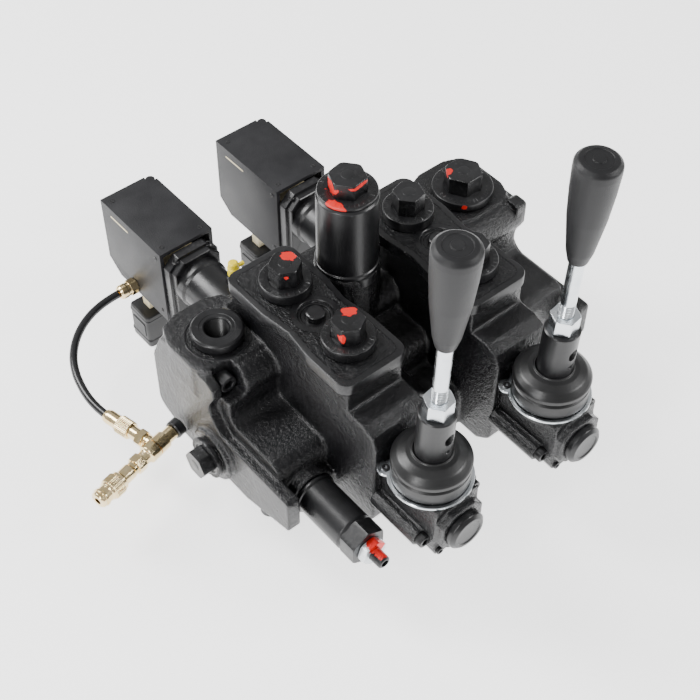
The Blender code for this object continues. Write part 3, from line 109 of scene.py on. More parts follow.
def camera_axes(azimuth, elevation, roll):
    """Right, up and backward: back = (sin a cos e, -cos a cos e, sin e), right = Z x back, then rolled."""
    back = Vector((math.sin(azimuth) * math.cos(elevation), -math.cos(azimuth) * math.cos(elevation),
                   math.sin(elevation)))
    right = Vector((0, 0, 1)).cross(back).normalized()
    up = back.cross(right)
    turn = Matrix.Rotation(roll, 3, back)
    return turn @ right, turn @ up, back


camera = bpy.data.objects.new("camera", bpy.data.cameras.new("camera"))
bpy.context.scene.collection.objects.link(camera)
axes = Matrix(camera_axes(CAMERA_AZIMUTH, CAMERA_ELEVATION, CAMERA_ROLL)).transposed()
camera.matrix_world = Matrix.Translation(CAMERA_PLACE) @ axes.to_4x4()
camera.data.lens = CAMERA_LENS
camera.data.clip_start = NEAREST
bpy.context.scene.camera = camera
print("camera at", tuple(round(c, 3) for c in CAMERA_PLACE))

# %% [markdown]
# ## Air hose
# The hose runs from the first cover's fitting to the tee. It is held at both ends and is stiff enough to
# keep its own bend, so its route is one smooth curve. The points are those of the solid, and a
# Catmull-Rom curve through them fills in the rest.

# %% Air hose
HOSE_DIAMETER = 0.006
HOSE_ROUTE = [
    (-0.0900, 0.1660, 0.0150),
    (-0.0980, 0.1658, 0.0148),
    (-0.1080, 0.1645, 0.0144),
    (-0.1190, 0.1612, 0.0138),
    (-0.1300, 0.1553, 0.0130),
    (-0.1400, 0.1468, 0.0122),
    (-0.1482, 0.1362, 0.0114),
    (-0.1540, 0.1240, 0.0106),
    (-0.1573, 0.1115, 0.0098),
    (-0.1588, 0.1000, 0.0090),
    (-0.1586, 0.0900, 0.0083),
    (-0.1576, 0.0815, 0.0080),
]


def through(points, steps=6):
    """A Catmull-Rom curve: a cubic in t from p1 to p2, leaving along p2 - p0 and arriving along p3 - p1."""
    p = np.array(points)
    p = np.vstack([2 * p[0] - p[1], p, 2 * p[-1] - p[-2]])
    t = (np.arange(steps) / steps)[None, :, None]
    p0, p1, p2, p3 = (p[start:len(p) - 3 + start, None, :] for start in range(4))
    bend = 2 * p0 - 5 * p1 + 4 * p2 - p3
    twist = 3 * p1 - p0 - 3 * p2 + p3
    curve = 0.5 * (2 * p1 + (p2 - p0) * t + bend * t ** 2 + twist * t ** 3)
    return np.vstack([curve.reshape(-1, 3), p[-2]])


hose_line = through(HOSE_ROUTE)
hose_curve = bpy.data.curves.new("hose_line", "CURVE")
hose_curve.dimensions = "3D"
hose_curve.bevel_depth = HOSE_DIAMETER / 2
hose_curve.bevel_resolution = 7
hose_curve.use_fill_caps = True
spline = hose_curve.splines.new("POLY")
spline.points.add(len(hose_line) - 1)
spline.points.foreach_set("co", np.column_stack([hose_line, np.ones(len(hose_line))]).ravel())
hose_guide = bpy.data.objects.new("hose_line", hose_curve)
bpy.context.scene.collection.objects.link(hose_guide)
hose_mesh = bpy.data.meshes.new_from_object(hose_guide.evaluated_get(bpy.context.evaluated_depsgraph_get()))
bpy.data.objects.remove(hose_guide)
hose_bm = bmesh.new()
hose_bm.from_mesh(hose_mesh)
bmesh.ops.remove_doubles(hose_bm, verts=hose_bm.verts, dist=1e-6)
bmesh.ops.recalc_face_normals(hose_bm, faces=hose_bm.faces)
hose_bm.to_mesh(hose_mesh)
hose_bm.free()
hose_mesh.shade_smooth()
hose_mesh.set_sharp_from_angle(angle=math.radians(50))
hose = bpy.data.objects.new("supply_hose", hose_mesh)
bpy.context.scene.collection.objects.link(hose)
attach(hose, "valve")
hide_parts("air_hose")

# %% [markdown]
# ## Shader helpers
# Every finish here is procedural. One short function adds a node and fills its sockets, and the
# effects that several finishes share are node groups: a bumpy skin, worn edges with a painted
# edge highlight, settled dust and a dab of marking paint.


# %% Node helper
def add(tree, kind, inputs=None, **settings):
    """Adds a node; a socket in inputs is linked and any other value is set on the socket."""
    made = tree.nodes.new(kind)
    for key, value in settings.items():
        setattr(made, key, value)
    for key, value in (inputs or {}).items():
        if isinstance(value, bpy.types.NodeSocket):
            tree.links.new(value, made.inputs[key])
        else:
            made.inputs[key].default_value = value
    return made


def group(name, inputs, outputs):
    """An empty shader group with named sockets: (name, socket type, default)."""
    tree = bpy.data.node_groups.new(name, "ShaderNodeTree")
    for label, kind, default in inputs:
        socket = tree.interface.new_socket(label, in_out="INPUT", socket_type=kind)
        socket.default_value = default
    for label, kind in outputs:
        tree.interface.new_socket(label, in_out="OUTPUT", socket_type=kind)
    return tree, tree.nodes.new("NodeGroupInput").outputs, tree.nodes.new("NodeGroupOutput")


def noise(tree, scale, detail=2.0):
    """Noise on Object coordinates, so it stays put on the piece."""
    place = add(tree, "ShaderNodeTexCoord").outputs["Object"]
    return add(tree, "ShaderNodeTexNoise", {"Vector": place, "Scale": scale, "Detail": detail})


# %% Shared effects
def make_skin():
    """Bumpy skin: coarse noise plus fine noise as one height, read by a Bump node."""
    tree, given, out = group("skin", [("Coarse Scale", "NodeSocketFloat", 150.0),
                                      ("Fine Scale", "NodeSocketFloat", 900.0),
                                      ("Depth", "NodeSocketFloat", 0.0002)],
                             [("Normal", "NodeSocketVector")])
    coarse = noise(tree, given["Coarse Scale"], 3.0).outputs["Fac"]
    fine = noise(tree, given["Fine Scale"], 2.0).outputs["Fac"]
    both = add(tree, "ShaderNodeMath", {0: coarse, 1: 1.4, 2: fine}, operation="MULTIPLY_ADD").outputs[0]
    bump = add(tree, "ShaderNodeBump", {"Height": both, "Distance": given["Depth"], "Strength": 1.0})
    tree.links.new(bump.outputs["Normal"], out.inputs["Normal"])
    return tree


def make_wear_and_edge_highlight():
    """Worn edges and a painted edge highlight: where the surface is sharply convex, broken up by noise."""
    tree, given, out = group("worn_and_highlighted_edges", [("Amount", "NodeSocketFloat", 0.5)],
                             [("Mask", "NodeSocketFloat")])
    point = add(tree, "ShaderNodeNewGeometry").outputs["Pointiness"]
    edge = add(tree, "ShaderNodeMapRange", {"Value": point, "From Min": 0.53, "From Max": 0.62})
    speckle = add(tree, "ShaderNodeMapRange", {"Value": noise(tree, 420.0, 4.0).outputs["Fac"],
                                               "From Min": 0.5, "From Max": 0.66})
    both = add(tree, "ShaderNodeMath", {0: edge.outputs[0], 1: speckle.outputs[0]}, operation="MULTIPLY")
    scaled = add(tree, "ShaderNodeMath", {0: both.outputs[0], 1: given["Amount"]}, operation="MULTIPLY")
    tree.links.new(scaled.outputs[0], out.inputs["Mask"])
    return tree


def make_dust():
    """Dust: thin and patchy, on what faces up."""
    tree, given, out = group("dust", [("Amount", "NodeSocketFloat", 0.1)], [("Mask", "NodeSocketFloat")])
    normal = add(tree, "ShaderNodeNewGeometry").outputs["Normal"]
    up = add(tree, "ShaderNodeSeparateXYZ", {0: normal}).outputs["Z"]
    flat = add(tree, "ShaderNodeMapRange", {"Value": up, "From Min": 0.3, "From Max": 1.0})
    patch = add(tree, "ShaderNodeMapRange", {"Value": noise(tree, 60.0, 5.0).outputs["Fac"],
                                             "From Min": 0.35, "From Max": 0.75})
    both = add(tree, "ShaderNodeMath", {0: flat.outputs[0], 1: patch.outputs[0]}, operation="MULTIPLY")
    scaled = add(tree, "ShaderNodeMath", {0: both.outputs[0], 1: given["Amount"]}, operation="MULTIPLY")
    tree.links.new(scaled.outputs[0], out.inputs["Mask"])
    return tree


def make_dab():
    """A dab of marking paint: inside an ellipsoid whose edge is torn by noise."""
    tree, given, out = group("paint_dab", [("Centre", "NodeSocketVector", (0, 0, 0)),
                                           ("Size", "NodeSocketVector", (1, 1, 1))],
                             [("Mask", "NodeSocketFloat")])
    place = add(tree, "ShaderNodeTexCoord").outputs["Object"]
    offset = add(tree, "ShaderNodeVectorMath", {0: place, 1: given["Centre"]}, operation="SUBTRACT")
    ratio = add(tree, "ShaderNodeVectorMath", {0: offset.outputs[0], 1: given["Size"]}, operation="DIVIDE")
    reach = add(tree, "ShaderNodeVectorMath", {0: ratio.outputs[0]}, operation="LENGTH").outputs["Value"]
    torn = add(tree, "ShaderNodeMath", {0: noise(tree, 330.0, 3.0).outputs["Fac"], 1: 0.9, 2: reach},
               operation="MULTIPLY_ADD").outputs[0]
    mask = add(tree, "ShaderNodeMapRange", {"Value": torn, "From Min": 1.38, "From Max": 1.44,
                                            "To Min": 1.0, "To Max": 0.0})
    tree.links.new(mask.outputs[0], out.inputs["Mask"])
    return tree


SKIN, WEAR_AND_HIGHLIGHT, DUST, DAB = make_skin(), make_wear_and_edge_highlight(), make_dust(), make_dab()
print("groups:", [g.name for g in (SKIN, WEAR_AND_HIGHLIGHT, DUST, DAB)])

# %% [markdown]
# ## Finishes
# Each finish is one Principled BSDF. Its base colour drifts a little between two tones, lightens
# on sharp edges where that fits, as bare-metal wear and as a painted edge highlight, and takes dust
# and paint dabs as further mixes.


# %% Finish builder
RED_PAINT = (0.72, 0.018, 0.012, 1.0)
DUST_COLOUR = (0.34, 0.34, 0.35, 1.0)
# Light grey on sharp edges: partly bare metal where paint is worn off, partly a painted edge highlight.
WEAR_AND_HIGHLIGHT_COLOUR = (0.35, 0.35, 0.36, 1.0)


def blend_in(tree, mask, under, over):
    """Mixes colour over onto colour under where the mask is 1."""
    mix = add(tree, "ShaderNodeMix", {"Factor": mask}, data_type="RGBA")
    for key, value in (("A", under), ("B", over)):
        socket = [s for s in mix.inputs if s.name == key and s.type == "RGBA"][0]
        if isinstance(value, bpy.types.NodeSocket):
            tree.links.new(value, socket)
        else:
            socket.default_value = value
    return [s for s in mix.outputs if s.type == "RGBA"][0]


def finish(name, tones, rough, metal=0.0, skin=(150, 900, 0.0001), worn=0.0, dust=0.0, dabs=(),
           tone_scale=35.0, **sockets):
    """A painted, plated or moulded finish; tones and rough are (low, high) pairs."""
    made = bpy.data.materials.new(name)
    made.use_nodes = True
    tree = made.node_tree
    shader = tree.nodes["Principled BSDF"]
    drift = noise(tree, tone_scale, 5.0).outputs["Fac"]
    spread = add(tree, "ShaderNodeMapRange", {"Value": drift, "From Min": 0.3, "From Max": 0.7}).outputs[0]
    colour = blend_in(tree, spread, (*tones[0], 1.0), (*tones[1], 1.0))
    # Sharp edges lighten, partly as wear and partly as a painted highlight; dust settles on what faces up.
    for amount, effect, over in ((worn, WEAR_AND_HIGHLIGHT, WEAR_AND_HIGHLIGHT_COLOUR), (dust, DUST, DUST_COLOUR)):
        if amount:
            mask = add(tree, "ShaderNodeGroup", node_tree=effect)
            mask.inputs["Amount"].default_value = amount
            colour = blend_in(tree, mask.outputs["Mask"], colour, over)
    for place, size in dabs:
        mask = add(tree, "ShaderNodeGroup", node_tree=DAB)
        mask.inputs["Centre"].default_value = place
        mask.inputs["Size"].default_value = size
        colour = blend_in(tree, mask.outputs["Mask"], colour, RED_PAINT)
    tree.links.new(colour, shader.inputs["Base Color"])
    gloss = add(tree, "ShaderNodeMapRange", {"Value": drift, "From Min": 0.3, "From Max": 0.7,
                                             "To Min": rough[0], "To Max": rough[1]}).outputs[0]
    tree.links.new(gloss, shader.inputs["Roughness"])
    bumps = add(tree, "ShaderNodeGroup", node_tree=SKIN)
    for label, value in zip(("Coarse Scale", "Fine Scale", "Depth"), skin):
        bumps.inputs[label].default_value = value
    tree.links.new(bumps.outputs["Normal"], shader.inputs["Normal"])
    shader.inputs["Metallic"].default_value = metal
    for key, value in sockets.items():
        shader.inputs[key.replace("_", " ")].default_value = value
    return made


# %% The finishes of this valve
BLACK = ((0.0030, 0.0030, 0.0034), (0.0075, 0.0075, 0.0085))
PAINT = {"worn": 0.4, "dust": 0.03}
cast_paint = finish("black_paint_on_casting", BLACK, (0.16, 0.30), skin=(330, 1100, 0.00055), **PAINT)
smooth_paint = finish("black_paint_on_machined_faces", BLACK, (0.24, 0.36), skin=(260, 1500, 0.00005),
                      worn=0.1, dust=0.03)
cover_coat = finish("grey_powder_coat", ((0.012, 0.012, 0.0135), (0.018, 0.018, 0.020)), (0.42, 0.52),
                    skin=(900, 2600, 0.00009), dust=0.03, Specular_IOR_Level=0.35)
ZINC = ((0.66, 0.70, 0.74), (0.80, 0.83, 0.85))
zinc = finish("bright_zinc", ZINC, (0.14, 0.30), metal=1.0,
              skin=(300, 1500, 0.00005), tone_scale=120.0)
nickel_brass = finish("nickel_washed_brass", ((0.80, 0.62, 0.32), (0.90, 0.74, 0.46)), (0.12, 0.26),
                      metal=1.0,
                      skin=(300, 1600, 0.00003), tone_scale=160.0)
rubber = finish("moulded_rubber", ((0.004, 0.004, 0.0042), (0.008, 0.008, 0.0085)), (0.30, 0.42),
                skin=(220, 1300, 0.00005), dust=0.03)
knob_plastic = finish("grained_knob_plastic", ((0.010, 0.010, 0.0108), (0.014, 0.014, 0.015)), (0.36, 0.46),
                      skin=(1500, 3400, 0.00008), dust=0.02, Specular_IOR_Level=0.3)
black_nylon = finish("black_nylon", ((0.006, 0.006, 0.0065), (0.010, 0.010, 0.011)), (0.36, 0.5),
                     skin=(500, 1800, 0.00005))
beige_nylon = finish("beige_nylon", ((0.62, 0.54, 0.34), (0.70, 0.62, 0.42)), (0.38, 0.5),
                     skin=(500, 1800, 0.00004))
yellow_nylon = finish("yellow_nylon", ((0.95, 0.72, 0.02), (0.98, 0.80, 0.04)), (0.3, 0.4),
                      skin=(400, 1500, 0.00003))
hose_nylon = finish("black_air_hose", ((0.010, 0.010, 0.011), (0.016, 0.016, 0.017)), (0.20, 0.30),
                    skin=(90, 900, 0.00003))
ground_steel = finish("ground_steel", ((0.5, 0.5, 0.52), (0.62, 0.62, 0.64)), (0.2, 0.32), metal=1.0,
                      skin=(900, 2600, 0.00002))
hose_mesh.materials.append(hose_nylon)
print("finishes:", len(bpy.data.materials))

# %% [markdown]
# ## Surfaces from numpy
# A turned piece is a profile carried round an axis, and a plate is an outline carried through a
# few insets and heights. Both are one grid of points: rows run along the profile and columns run
# round the piece, so one function turns any such grid into a mesh.


# %% Grid to mesh
def grid_faces(rows, columns, start=0):
    """Quads joining each point to its neighbours: right, up-right, up. The columns wrap round."""
    i, j = np.meshgrid(np.arange(rows - 1), np.arange(columns), indexing="ij")
    right = (j + 1) % columns
    corners = (i * columns + j, i * columns + right, (i + 1) * columns + right, (i + 1) * columns + j)
    return start + np.stack(corners, -1).reshape(-1, 4)


def piece(name, grids, material, sharp=35.0):
    """One mesh object from closed grids of points; doubles at the poles merge and faces turn outwards."""
    points, faces, start = [], [], 0
    for grid in grids:
        rows, columns, _ = grid.shape
        points.append(grid.reshape(-1, 3))
        faces.append(grid_faces(rows, columns, start))
        start += rows * columns
    mesh = bpy.data.meshes.new(name)
    mesh.from_pydata(np.concatenate(points), [], np.concatenate(faces))
    bm = bmesh.new()
    bm.from_mesh(mesh)
    bmesh.ops.remove_doubles(bm, verts=bm.verts, dist=1e-6)
    bmesh.ops.recalc_face_normals(bm, faces=bm.faces)
    bm.to_mesh(mesh)
    bm.free()
    return show(name, mesh, material, sharp)


def show(name, mesh, material, sharp=35.0):
    """Links a mesh as an object with one finish, smooth but for edges sharper than the angle."""
    mesh.shade_smooth()
    mesh.set_sharp_from_angle(angle=math.radians(sharp))
    mesh.materials.clear()
    mesh.materials.append(material)
    made = bpy.data.objects.new(name, mesh)
    bpy.context.scene.collection.objects.link(made)
    return made


def settle(made, body, slot, *nodes):
    """Rides the piece on its body and hides the solids that it stands for; the slot is not used."""
    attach(made, body)
    if nodes:
        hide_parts(*nodes)
    return made


# %% Profiles
def soften(corners, steps=4):
    """Rounds a profile: each (a, b, radius) corner becomes an arc tangent to both its sides."""
    out = []
    for index, corner in enumerate(corners):
        a, b = corner[:2]
        radius = corner[2] if len(corner) > 2 else 0.0
        if not radius or index in (0, len(corners) - 1):
            out.append((a, b))
            continue
        here = Vector((a, b))
        before = (Vector(corners[index - 1][:2]) - here).normalized()
        after = (Vector(corners[index + 1][:2]) - here).normalized()
        half = before.angle(after) / 2
        if half > math.pi / 2 - 0.02:
            out.append((a, b))
            continue
        middle = here + (before + after).normalized() * (radius / math.sin(half))
        first = here + before * (radius / math.tan(half)) - middle
        sweep = first.angle_signed(here + after * (radius / math.tan(half)) - middle)
        for number in range(steps + 1):
            out.append(tuple(middle + Matrix.Rotation(-sweep * number / steps, 2) @ first))
    return np.array(out)


def turned(corners, place=Matrix(), sides=64, steps=4):
    """A lathe grid: (r, z) of the profile gives the points (r cos t, r sin t, z), moved to its place."""
    profile = soften([(a * MM, b * MM, *(c * MM for c in rest)) for a, b, *rest in corners], steps)
    angle = np.arange(sides) * (2 * math.pi / sides)
    radius = profile[:, :1]
    height = np.repeat(profile[:, 1:], sides, 1)
    return moved(np.stack([radius * np.cos(angle), radius * np.sin(angle), height], -1), place)


def moved(grid, place):
    """The grid's points times a 4 x 4 matrix."""
    turn = np.array(place.to_3x3())
    return grid @ turn.T + np.array(place.translation)


def hexagonal(flats, low, high, place=Matrix(), bore=0.0, both=False, sides=72, turn=0.0, soft=0.985):
    """A hexagon whose corners are cut by a 30 degree cone, as a turned nut's are.

    Radius of the hexagon: (flats / 2) / cos(t mod 60 - 30 degrees). The wall ends where it meets the
    cone r = r0 + (high - z) * sqrt(3), and the top is flat inside r0.
    """
    angle = np.arange(sides) * (2 * math.pi / sides)
    wedge = np.mod(angle, math.pi / 3) - math.pi / 6
    wall = np.minimum(flats / 2 / np.cos(wedge), flats / math.sqrt(3) * soft)
    land = flats / 2 * 1.07
    drop = np.maximum(wall - land, 0) / math.sqrt(3) + 0.15
    flat = np.minimum(wall - 0.15, land)
    edge = [(flat, np.full(sides, low)), (wall, low + drop)] if both else [(wall, np.full(sides, low))]
    rows = [(np.full(sides, bore), np.full(sides, low)), *edge, (wall, high - drop),
            (flat, np.full(sides, high)),
            (np.full(sides, bore), np.full(sides, high))]
    if bore:
        rows.append(rows[0])
    around = angle + turn
    grid = np.stack([np.stack([r * np.cos(around), r * np.sin(around), z], -1) for r, z in rows]) * MM
    return moved(grid, place)


def plate(outline, rows, place=Matrix()):
    """A plate grid: the outline moved inwards along its own normals by each inset, at each height."""
    ring = np.asarray(outline)
    along = np.roll(ring, -1, 0) - np.roll(ring, 1, 0)
    normal = np.stack([along[:, 1], -along[:, 0]], -1)
    normal /= np.linalg.norm(normal, axis=1, keepdims=True)
    grid = [np.column_stack([ring - normal * inset, np.full(len(ring), height)]) for inset, height in rows]
    middle = ring.mean(0)
    caps = [np.column_stack([np.tile(middle, (len(ring), 1)),
                             np.full(len(ring), rows[end][1])]) for end in (0, -1)]
    return moved(np.stack([caps[0], *grid, caps[1]]), place)


def outline(corners, steps=8):
    """A closed outline through (x, y, radius) corners in millimetres, in metres."""
    loop = [tuple(value * MM for value in corner) for corner in (corners[-1], *corners, corners[0])]
    return soften(loop, steps)[1:-1]


def facing(way, origin):
    """A matrix that stands local +Z along a world direction, at an origin."""
    return Matrix.Translation(origin) @ Vector(way).to_track_quat("Z", "Y").to_matrix().to_4x4()


print("surface helpers ready")

# %% [markdown]
# ## The casting
# Sand leaves no sharp inside corner, so a casting is all fillets. Bevelling the solid's many joined
# lumps one edge at a time would fail, and sculpting would not follow the frame. The solid is
# copied, rebuilt from small even cells by a voxel remesh and relaxed a few times, which rounds every corner
# by a millimetre or two, inside and out.


# %% Rounded copies of cast solids
def merged_copy(node):
    """The node's own mesh with its loose triangles merged."""
    bm = bmesh.new()
    bm.from_mesh(frame["nodes"][node].data)
    bmesh.ops.remove_doubles(bm, verts=bm.verts, dist=1e-6)
    return bm


def baked(made):
    """Applies the object's modifiers to its mesh."""
    graph = bpy.context.evaluated_depsgraph_get()
    mesh = bpy.data.meshes.new_from_object(made.evaluated_get(graph))
    made.modifiers.clear()
    made.data = mesh
    return made


TRIANGLES = 190000
BODY_CELL, HOUSING_CELL = 1.15 * MM, 0.7 * MM


def cast_copy(name, node, material, cell, rounds):
    """A cast piece: the solid remeshed into one even skin, relaxed, and thinned if it has too many faces."""
    bm = merged_copy(node)
    mesh = bpy.data.meshes.new(name)
    bm.to_mesh(mesh)
    bm.free()
    made = show(name, mesh, material)
    remesh = made.modifiers.new("cells", "REMESH")
    remesh.mode = "VOXEL"
    remesh.voxel_size = cell
    relax = made.modifiers.new("relax", "SMOOTH")
    relax.factor = 0.5
    relax.iterations = rounds
    baked(made)
    triangles = sum(len(face.vertices) - 2 for face in made.data.polygons)
    if triangles > TRIANGLES:
        thin = made.modifiers.new("thin", "DECIMATE")
        thin.ratio = TRIANGLES / triangles
        baked(made)
    made.data.materials.clear()
    made.data.materials.append(material)
    made.data.shade_smooth()
    return made


body = settle(cast_copy("cast_body", "valve_body", cast_paint, BODY_CELL, 4), "valve",
              "black_painted_cast_iron", "valve_body")
print("cast body faces:", len(body.data.polygons))
for number in SECTIONS:
    box = cast_copy(f"lever_housing_{number}", f"lever_box_{number}", cast_paint, HOUSING_CELL, 3)
    settle(box, "valve", "black_painted_cast_iron", f"lever_box_{number}")
    print("lever housing faces:", len(box.data.polygons))

# %% [markdown]
# ## Machined pads
# The tops where ports open are milled after casting, so they keep a crisp edge. Each is a thin plate
# laid over the rounded casting, with a small bevel.

# %% Work-port pads
PAD_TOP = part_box("valve_body")[1][2]
PLUG_X = {number: centre(f"port_plug_a{number}").x / MM for number in SECTIONS}


def pad_outline(x):
    """A dog-bone: 52 mm wide at both plugs, with a waist between them."""
    wide, waist = 26.2, 23.2
    return outline([
        (x - wide, -81.2, 9), (x + wide, -81.2, 9), (x + wide, -44, 16), (x + waist, -22, 20),
                    (x + wide, 0, 16),
        (x + wide, 41.2, 9), (x - wide, 41.2, 9), (x - wide, 0, 16), (x - waist, -22, 20),
                    (x - wide, -44, 16)])


def flat_pad(name, ring, top, thick, bevel=0.9 * MM):
    rows = [(bevel, top - thick), (0, top - thick + bevel), (0, top - bevel),
            (0.3 * bevel, top - 0.3 * bevel),
            (bevel, top)]
    return settle(piece(name, [plate(ring, rows)], smooth_paint), "valve", "black_painted_cast_iron")


def recess(made, place, radius, depth):
    """Sinks a round recess with a chamfered rim into a finished piece."""
    cutter = piece(made.name + "_cutter", [turned([(0, -depth), (radius, -depth), (radius, -0.4),
                                                   (radius + 0.5, 0.1),
                                                   (radius + 0.5, 2), (0, 2)], place, 64)], smooth_paint)
    cut = made.modifiers.new("recess", "BOOLEAN")
    cut.object = cutter
    cut.solver = "EXACT"
    baked(made)
    bpy.data.objects.remove(cutter)
    made.data.shade_smooth()
    made.data.set_sharp_from_angle(angle=math.radians(30))


for number in SECTIONS:
    pad = flat_pad(f"pad_{number}", pad_outline(PLUG_X[number]), PAD_TOP, 9.2 * MM)
    check = centre(f"load_check_cap_{number}")
    recess(pad, Matrix.Translation((check.x, check.y, PAD_TOP)), 11.75, 3.2)
print("pads at", round(PAD_TOP, 4))

# %% [markdown]
# ## Port plugs
# A plug is turned and then its head is milled to a hexagon. The hexagon's corners are cut by a
# cone, which gives the curved edges that catch the light, so the head is worked out as where the
# two shapes meet. The flange carries a ring of small raised marks, here plain dashes.

# %% Plugs
def dashes(radius, top, count, place):
    """A ring of raised marks: height = top + 0.3 mm where a few sines of the angle add up above zero."""
    sides = 360
    angle = np.arange(sides) * (2 * math.pi / sides)
    wave = np.sin(count * angle) + 0.7 * np.sin((count * 1.7 // 1) * angle + 1.0)
    raised = np.clip(wave * 2.0, 0.0, 1.0) * 0.32
    rows = [(radius - 1.5, 0 * raised - 0.2), (radius - 1.3, raised), (radius + 1.3, raised),
            (radius + 1.5, 0 * raised - 0.2)]
    rows.append(rows[0])
    grid = np.stack([np.stack([r * np.cos(angle), r * np.sin(angle), top + z], -1) for r, z in rows]) * MM
    return moved(grid, place)


def plug(name, node, place, flange, tall, flats, head, material, marks=30, turn=0.0):
    """Flange, raised marks and chamfered hexagon, on a local +Z that points out of the port."""
    edge = flange - 0.9
    grids = [
        turned([(0, 0.2), (edge - 0.8, 0.2), (edge - 0.8, 0.9), (flange, 1.2, 0.2), (flange, tall - 0.3, 0.8),
                (edge - 2.6, tall, 0.3), (flats / 2 + 1.6, tall - 0.3, 0.3), (flats / 2 + 1.2, tall - 0.8),
                (0, tall - 0.8)],
               place, 96),
        dashes((flange + flats / 2) / 2 + 1.6, tall - 0.2, marks, place),
        hexagonal(flats, tall - 1.2, tall + head, place, turn=turn),
        turned([(0, tall + head - 0.6), (4.4, tall + head - 0.6), (4.4, tall + head + 0.05, 0.2),
                (3.6, tall + head + 0.25), (0, tall + head + 0.25)], place, 32),
    ]
    return settle(piece(name, grids, material, 28), "valve", "black_plugs", node)


def marked(name, *dabs):
    """The plug paint with its own dabs of red marking paint."""
    return finish(name, BLACK, (0.24, 0.36), skin=(420, 1500, 0.00003), worn=0.06, dust=0.04, dabs=dabs)


# Flange radius, flange height, width across flats and head height, in millimetres.
WORK_PLUG = (17.2, 8.8, 19, 13)
OUTLET_PLUG = (22, 7.3, 24, 13)
TOWER_PLUG = (19.6, 3.5, 22, 11)
END_PLUG = (15, 4.3, 19, 9)
plug_bare = marked("black_paint_on_turned_steel")
for number in SECTIONS:
    for port in "ab":
        node = f"port_plug_{port}{number}"
        x, y, _ = centre(node)
        top = PAD_TOP + 21.5 * MM
        right = (x + 7 * MM, y + 4 * MM, top)
        left = (x - 9 * MM, y - 6 * MM, top - 7 * MM)
        dabs = {"a1": ((right, (6.5 * MM, 5.5 * MM, 7 * MM)),
                       ((x - 6 * MM, y - 9.5 * MM, top - 4 * MM), (2.2 * MM,) * 3)),
                "b1": (((x + 5 * MM, y + 5 * MM, top), (5.5 * MM, 4.5 * MM, 3 * MM)),
                       (left, (1.6 * MM, 5 * MM, 4 * MM))),
                "a2": (), "b2": (((x + 12 * MM, y + 9 * MM, top - 11 * MM), (3 * MM, 6 * MM, 4 * MM)),
                                 )}[port + number]
        paint = marked(f"marked_paint_{port}{number}", *dabs) if dabs else plug_bare
        plug(f"plug_{port}{number}", node, Matrix.Translation((x, y, PAD_TOP)), *WORK_PLUG, paint,
             turn=math.radians(12 + 9 * len(dabs)))

x, y, _ = centre("outlet_port_plug")
END_PAD_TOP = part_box("outlet_port_plug")[1][2] - 20.3 * MM
outlet_paint = marked("marked_paint_outlet",
                      ((x - 10 * MM, y + 6 * MM, END_PAD_TOP + 19 * MM), (6 * MM, 3 * MM, 3 * MM)),
                      ((x - 14 * MM, y - 17 * MM, END_PAD_TOP + 5 * MM), (2 * MM, 2 * MM, 2 * MM)))
plug("plug_outlet", "outlet_port_plug", Matrix.Translation((x, y, END_PAD_TOP)), *OUTLET_PLUG, outlet_paint,
     36)
x, y, _ = centre("tower_plug")
TOWER_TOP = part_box("tower_sleeve")[1][2]
tower_paint = marked(
    "marked_paint_tower", ((x - 10 * MM, y + 4 * MM, TOWER_TOP + 8 * MM), (4 * MM, 9 * MM, 5 * MM)),
    ((x + 1 * MM, y - 10.6 * MM, TOWER_TOP + 12 * MM), (9 * MM, 3 * MM, 1.6 * MM)),
    ((x - 17 * MM, y - 10 * MM, TOWER_TOP + 3 * MM), (5 * MM, 9 * MM, 3 * MM)))
plug("plug_tower", "tower_plug", Matrix.Translation((x, y, TOWER_TOP)), *TOWER_PLUG, tower_paint, 34,
     turn=math.radians(10))
low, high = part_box("end_port_plug")
seat = Vector((high[0] - 18 * MM, (low[1] + high[1]) / 2, (low[2] + high[2]) / 2))
plug("plug_inlet_end", "end_port_plug", facing((-1, 0, 0), seat), *END_PLUG, plug_bare, 26)
print("plugs: 7")

# %% [markdown]
# ## Inlet bush and tower
# The bush is a ring with a threaded hole. A thread is a helix, but at this size rings of equal
# pitch look the same, so its wall is a zigzag profile turned once round.

# %% Turned fittings
def threads(radius, depth, pitch, low, high):
    """A zigzag of radius between two heights: one tooth per pitch."""
    count = int((high - low) / pitch)
    steps = [low + (high - low) * i / (2 * count) for i in range(2 * count + 1)]
    return [(radius - depth * (i % 2), z) for i, z in enumerate(steps)]


low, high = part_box("inlet_port_bush")
bush_place = Matrix.Translation((*centre("inlet_port_bush").xy, high[2] - 8.3 * MM))
bush_profile = [(8.4, -16), (12.9, -16), (12.9, 0.2), (17.0, 0.2), (17.0, 1.2), (17.8, 1.5, 0.3),
                (17.8, 7.2, 1.0),
                (16.4, 8.2, 0.5), (12.0, 8.2, 0.3), (11.7, 7.9, 0.2), (9.4, 7.9, 0.4), (8.6, 7.2)]
bush_profile += threads(8.4, 0.7, 1.34, -16, 6.6)[::-1]
settle(piece("threaded_bush", [turned(bush_profile, bush_place, 96)], plug_bare, 30), "valve", "black_plugs",
       "inlet_port_bush")
spot = [(13.4, -2), (22.2, -2), (22.2, 0.35, 0.3), (21.2, 0.35), (20.8, 0.05), (13.4, 0.05), (13.4, -2)]
settle(piece("bush_spot_face", [turned(spot, bush_place @ Matrix.Translation((0, 0, -0.05 * MM)), 96)],
             smooth_paint),
       "valve", "black_painted_cast_iron")
low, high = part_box("tower_sleeve")
tower_axis = Matrix.Translation((*centre("tower_sleeve").xy, 0))
tower_r = (high[0] - low[0]) / 2 / MM
COLLAR_TOP = 115.0
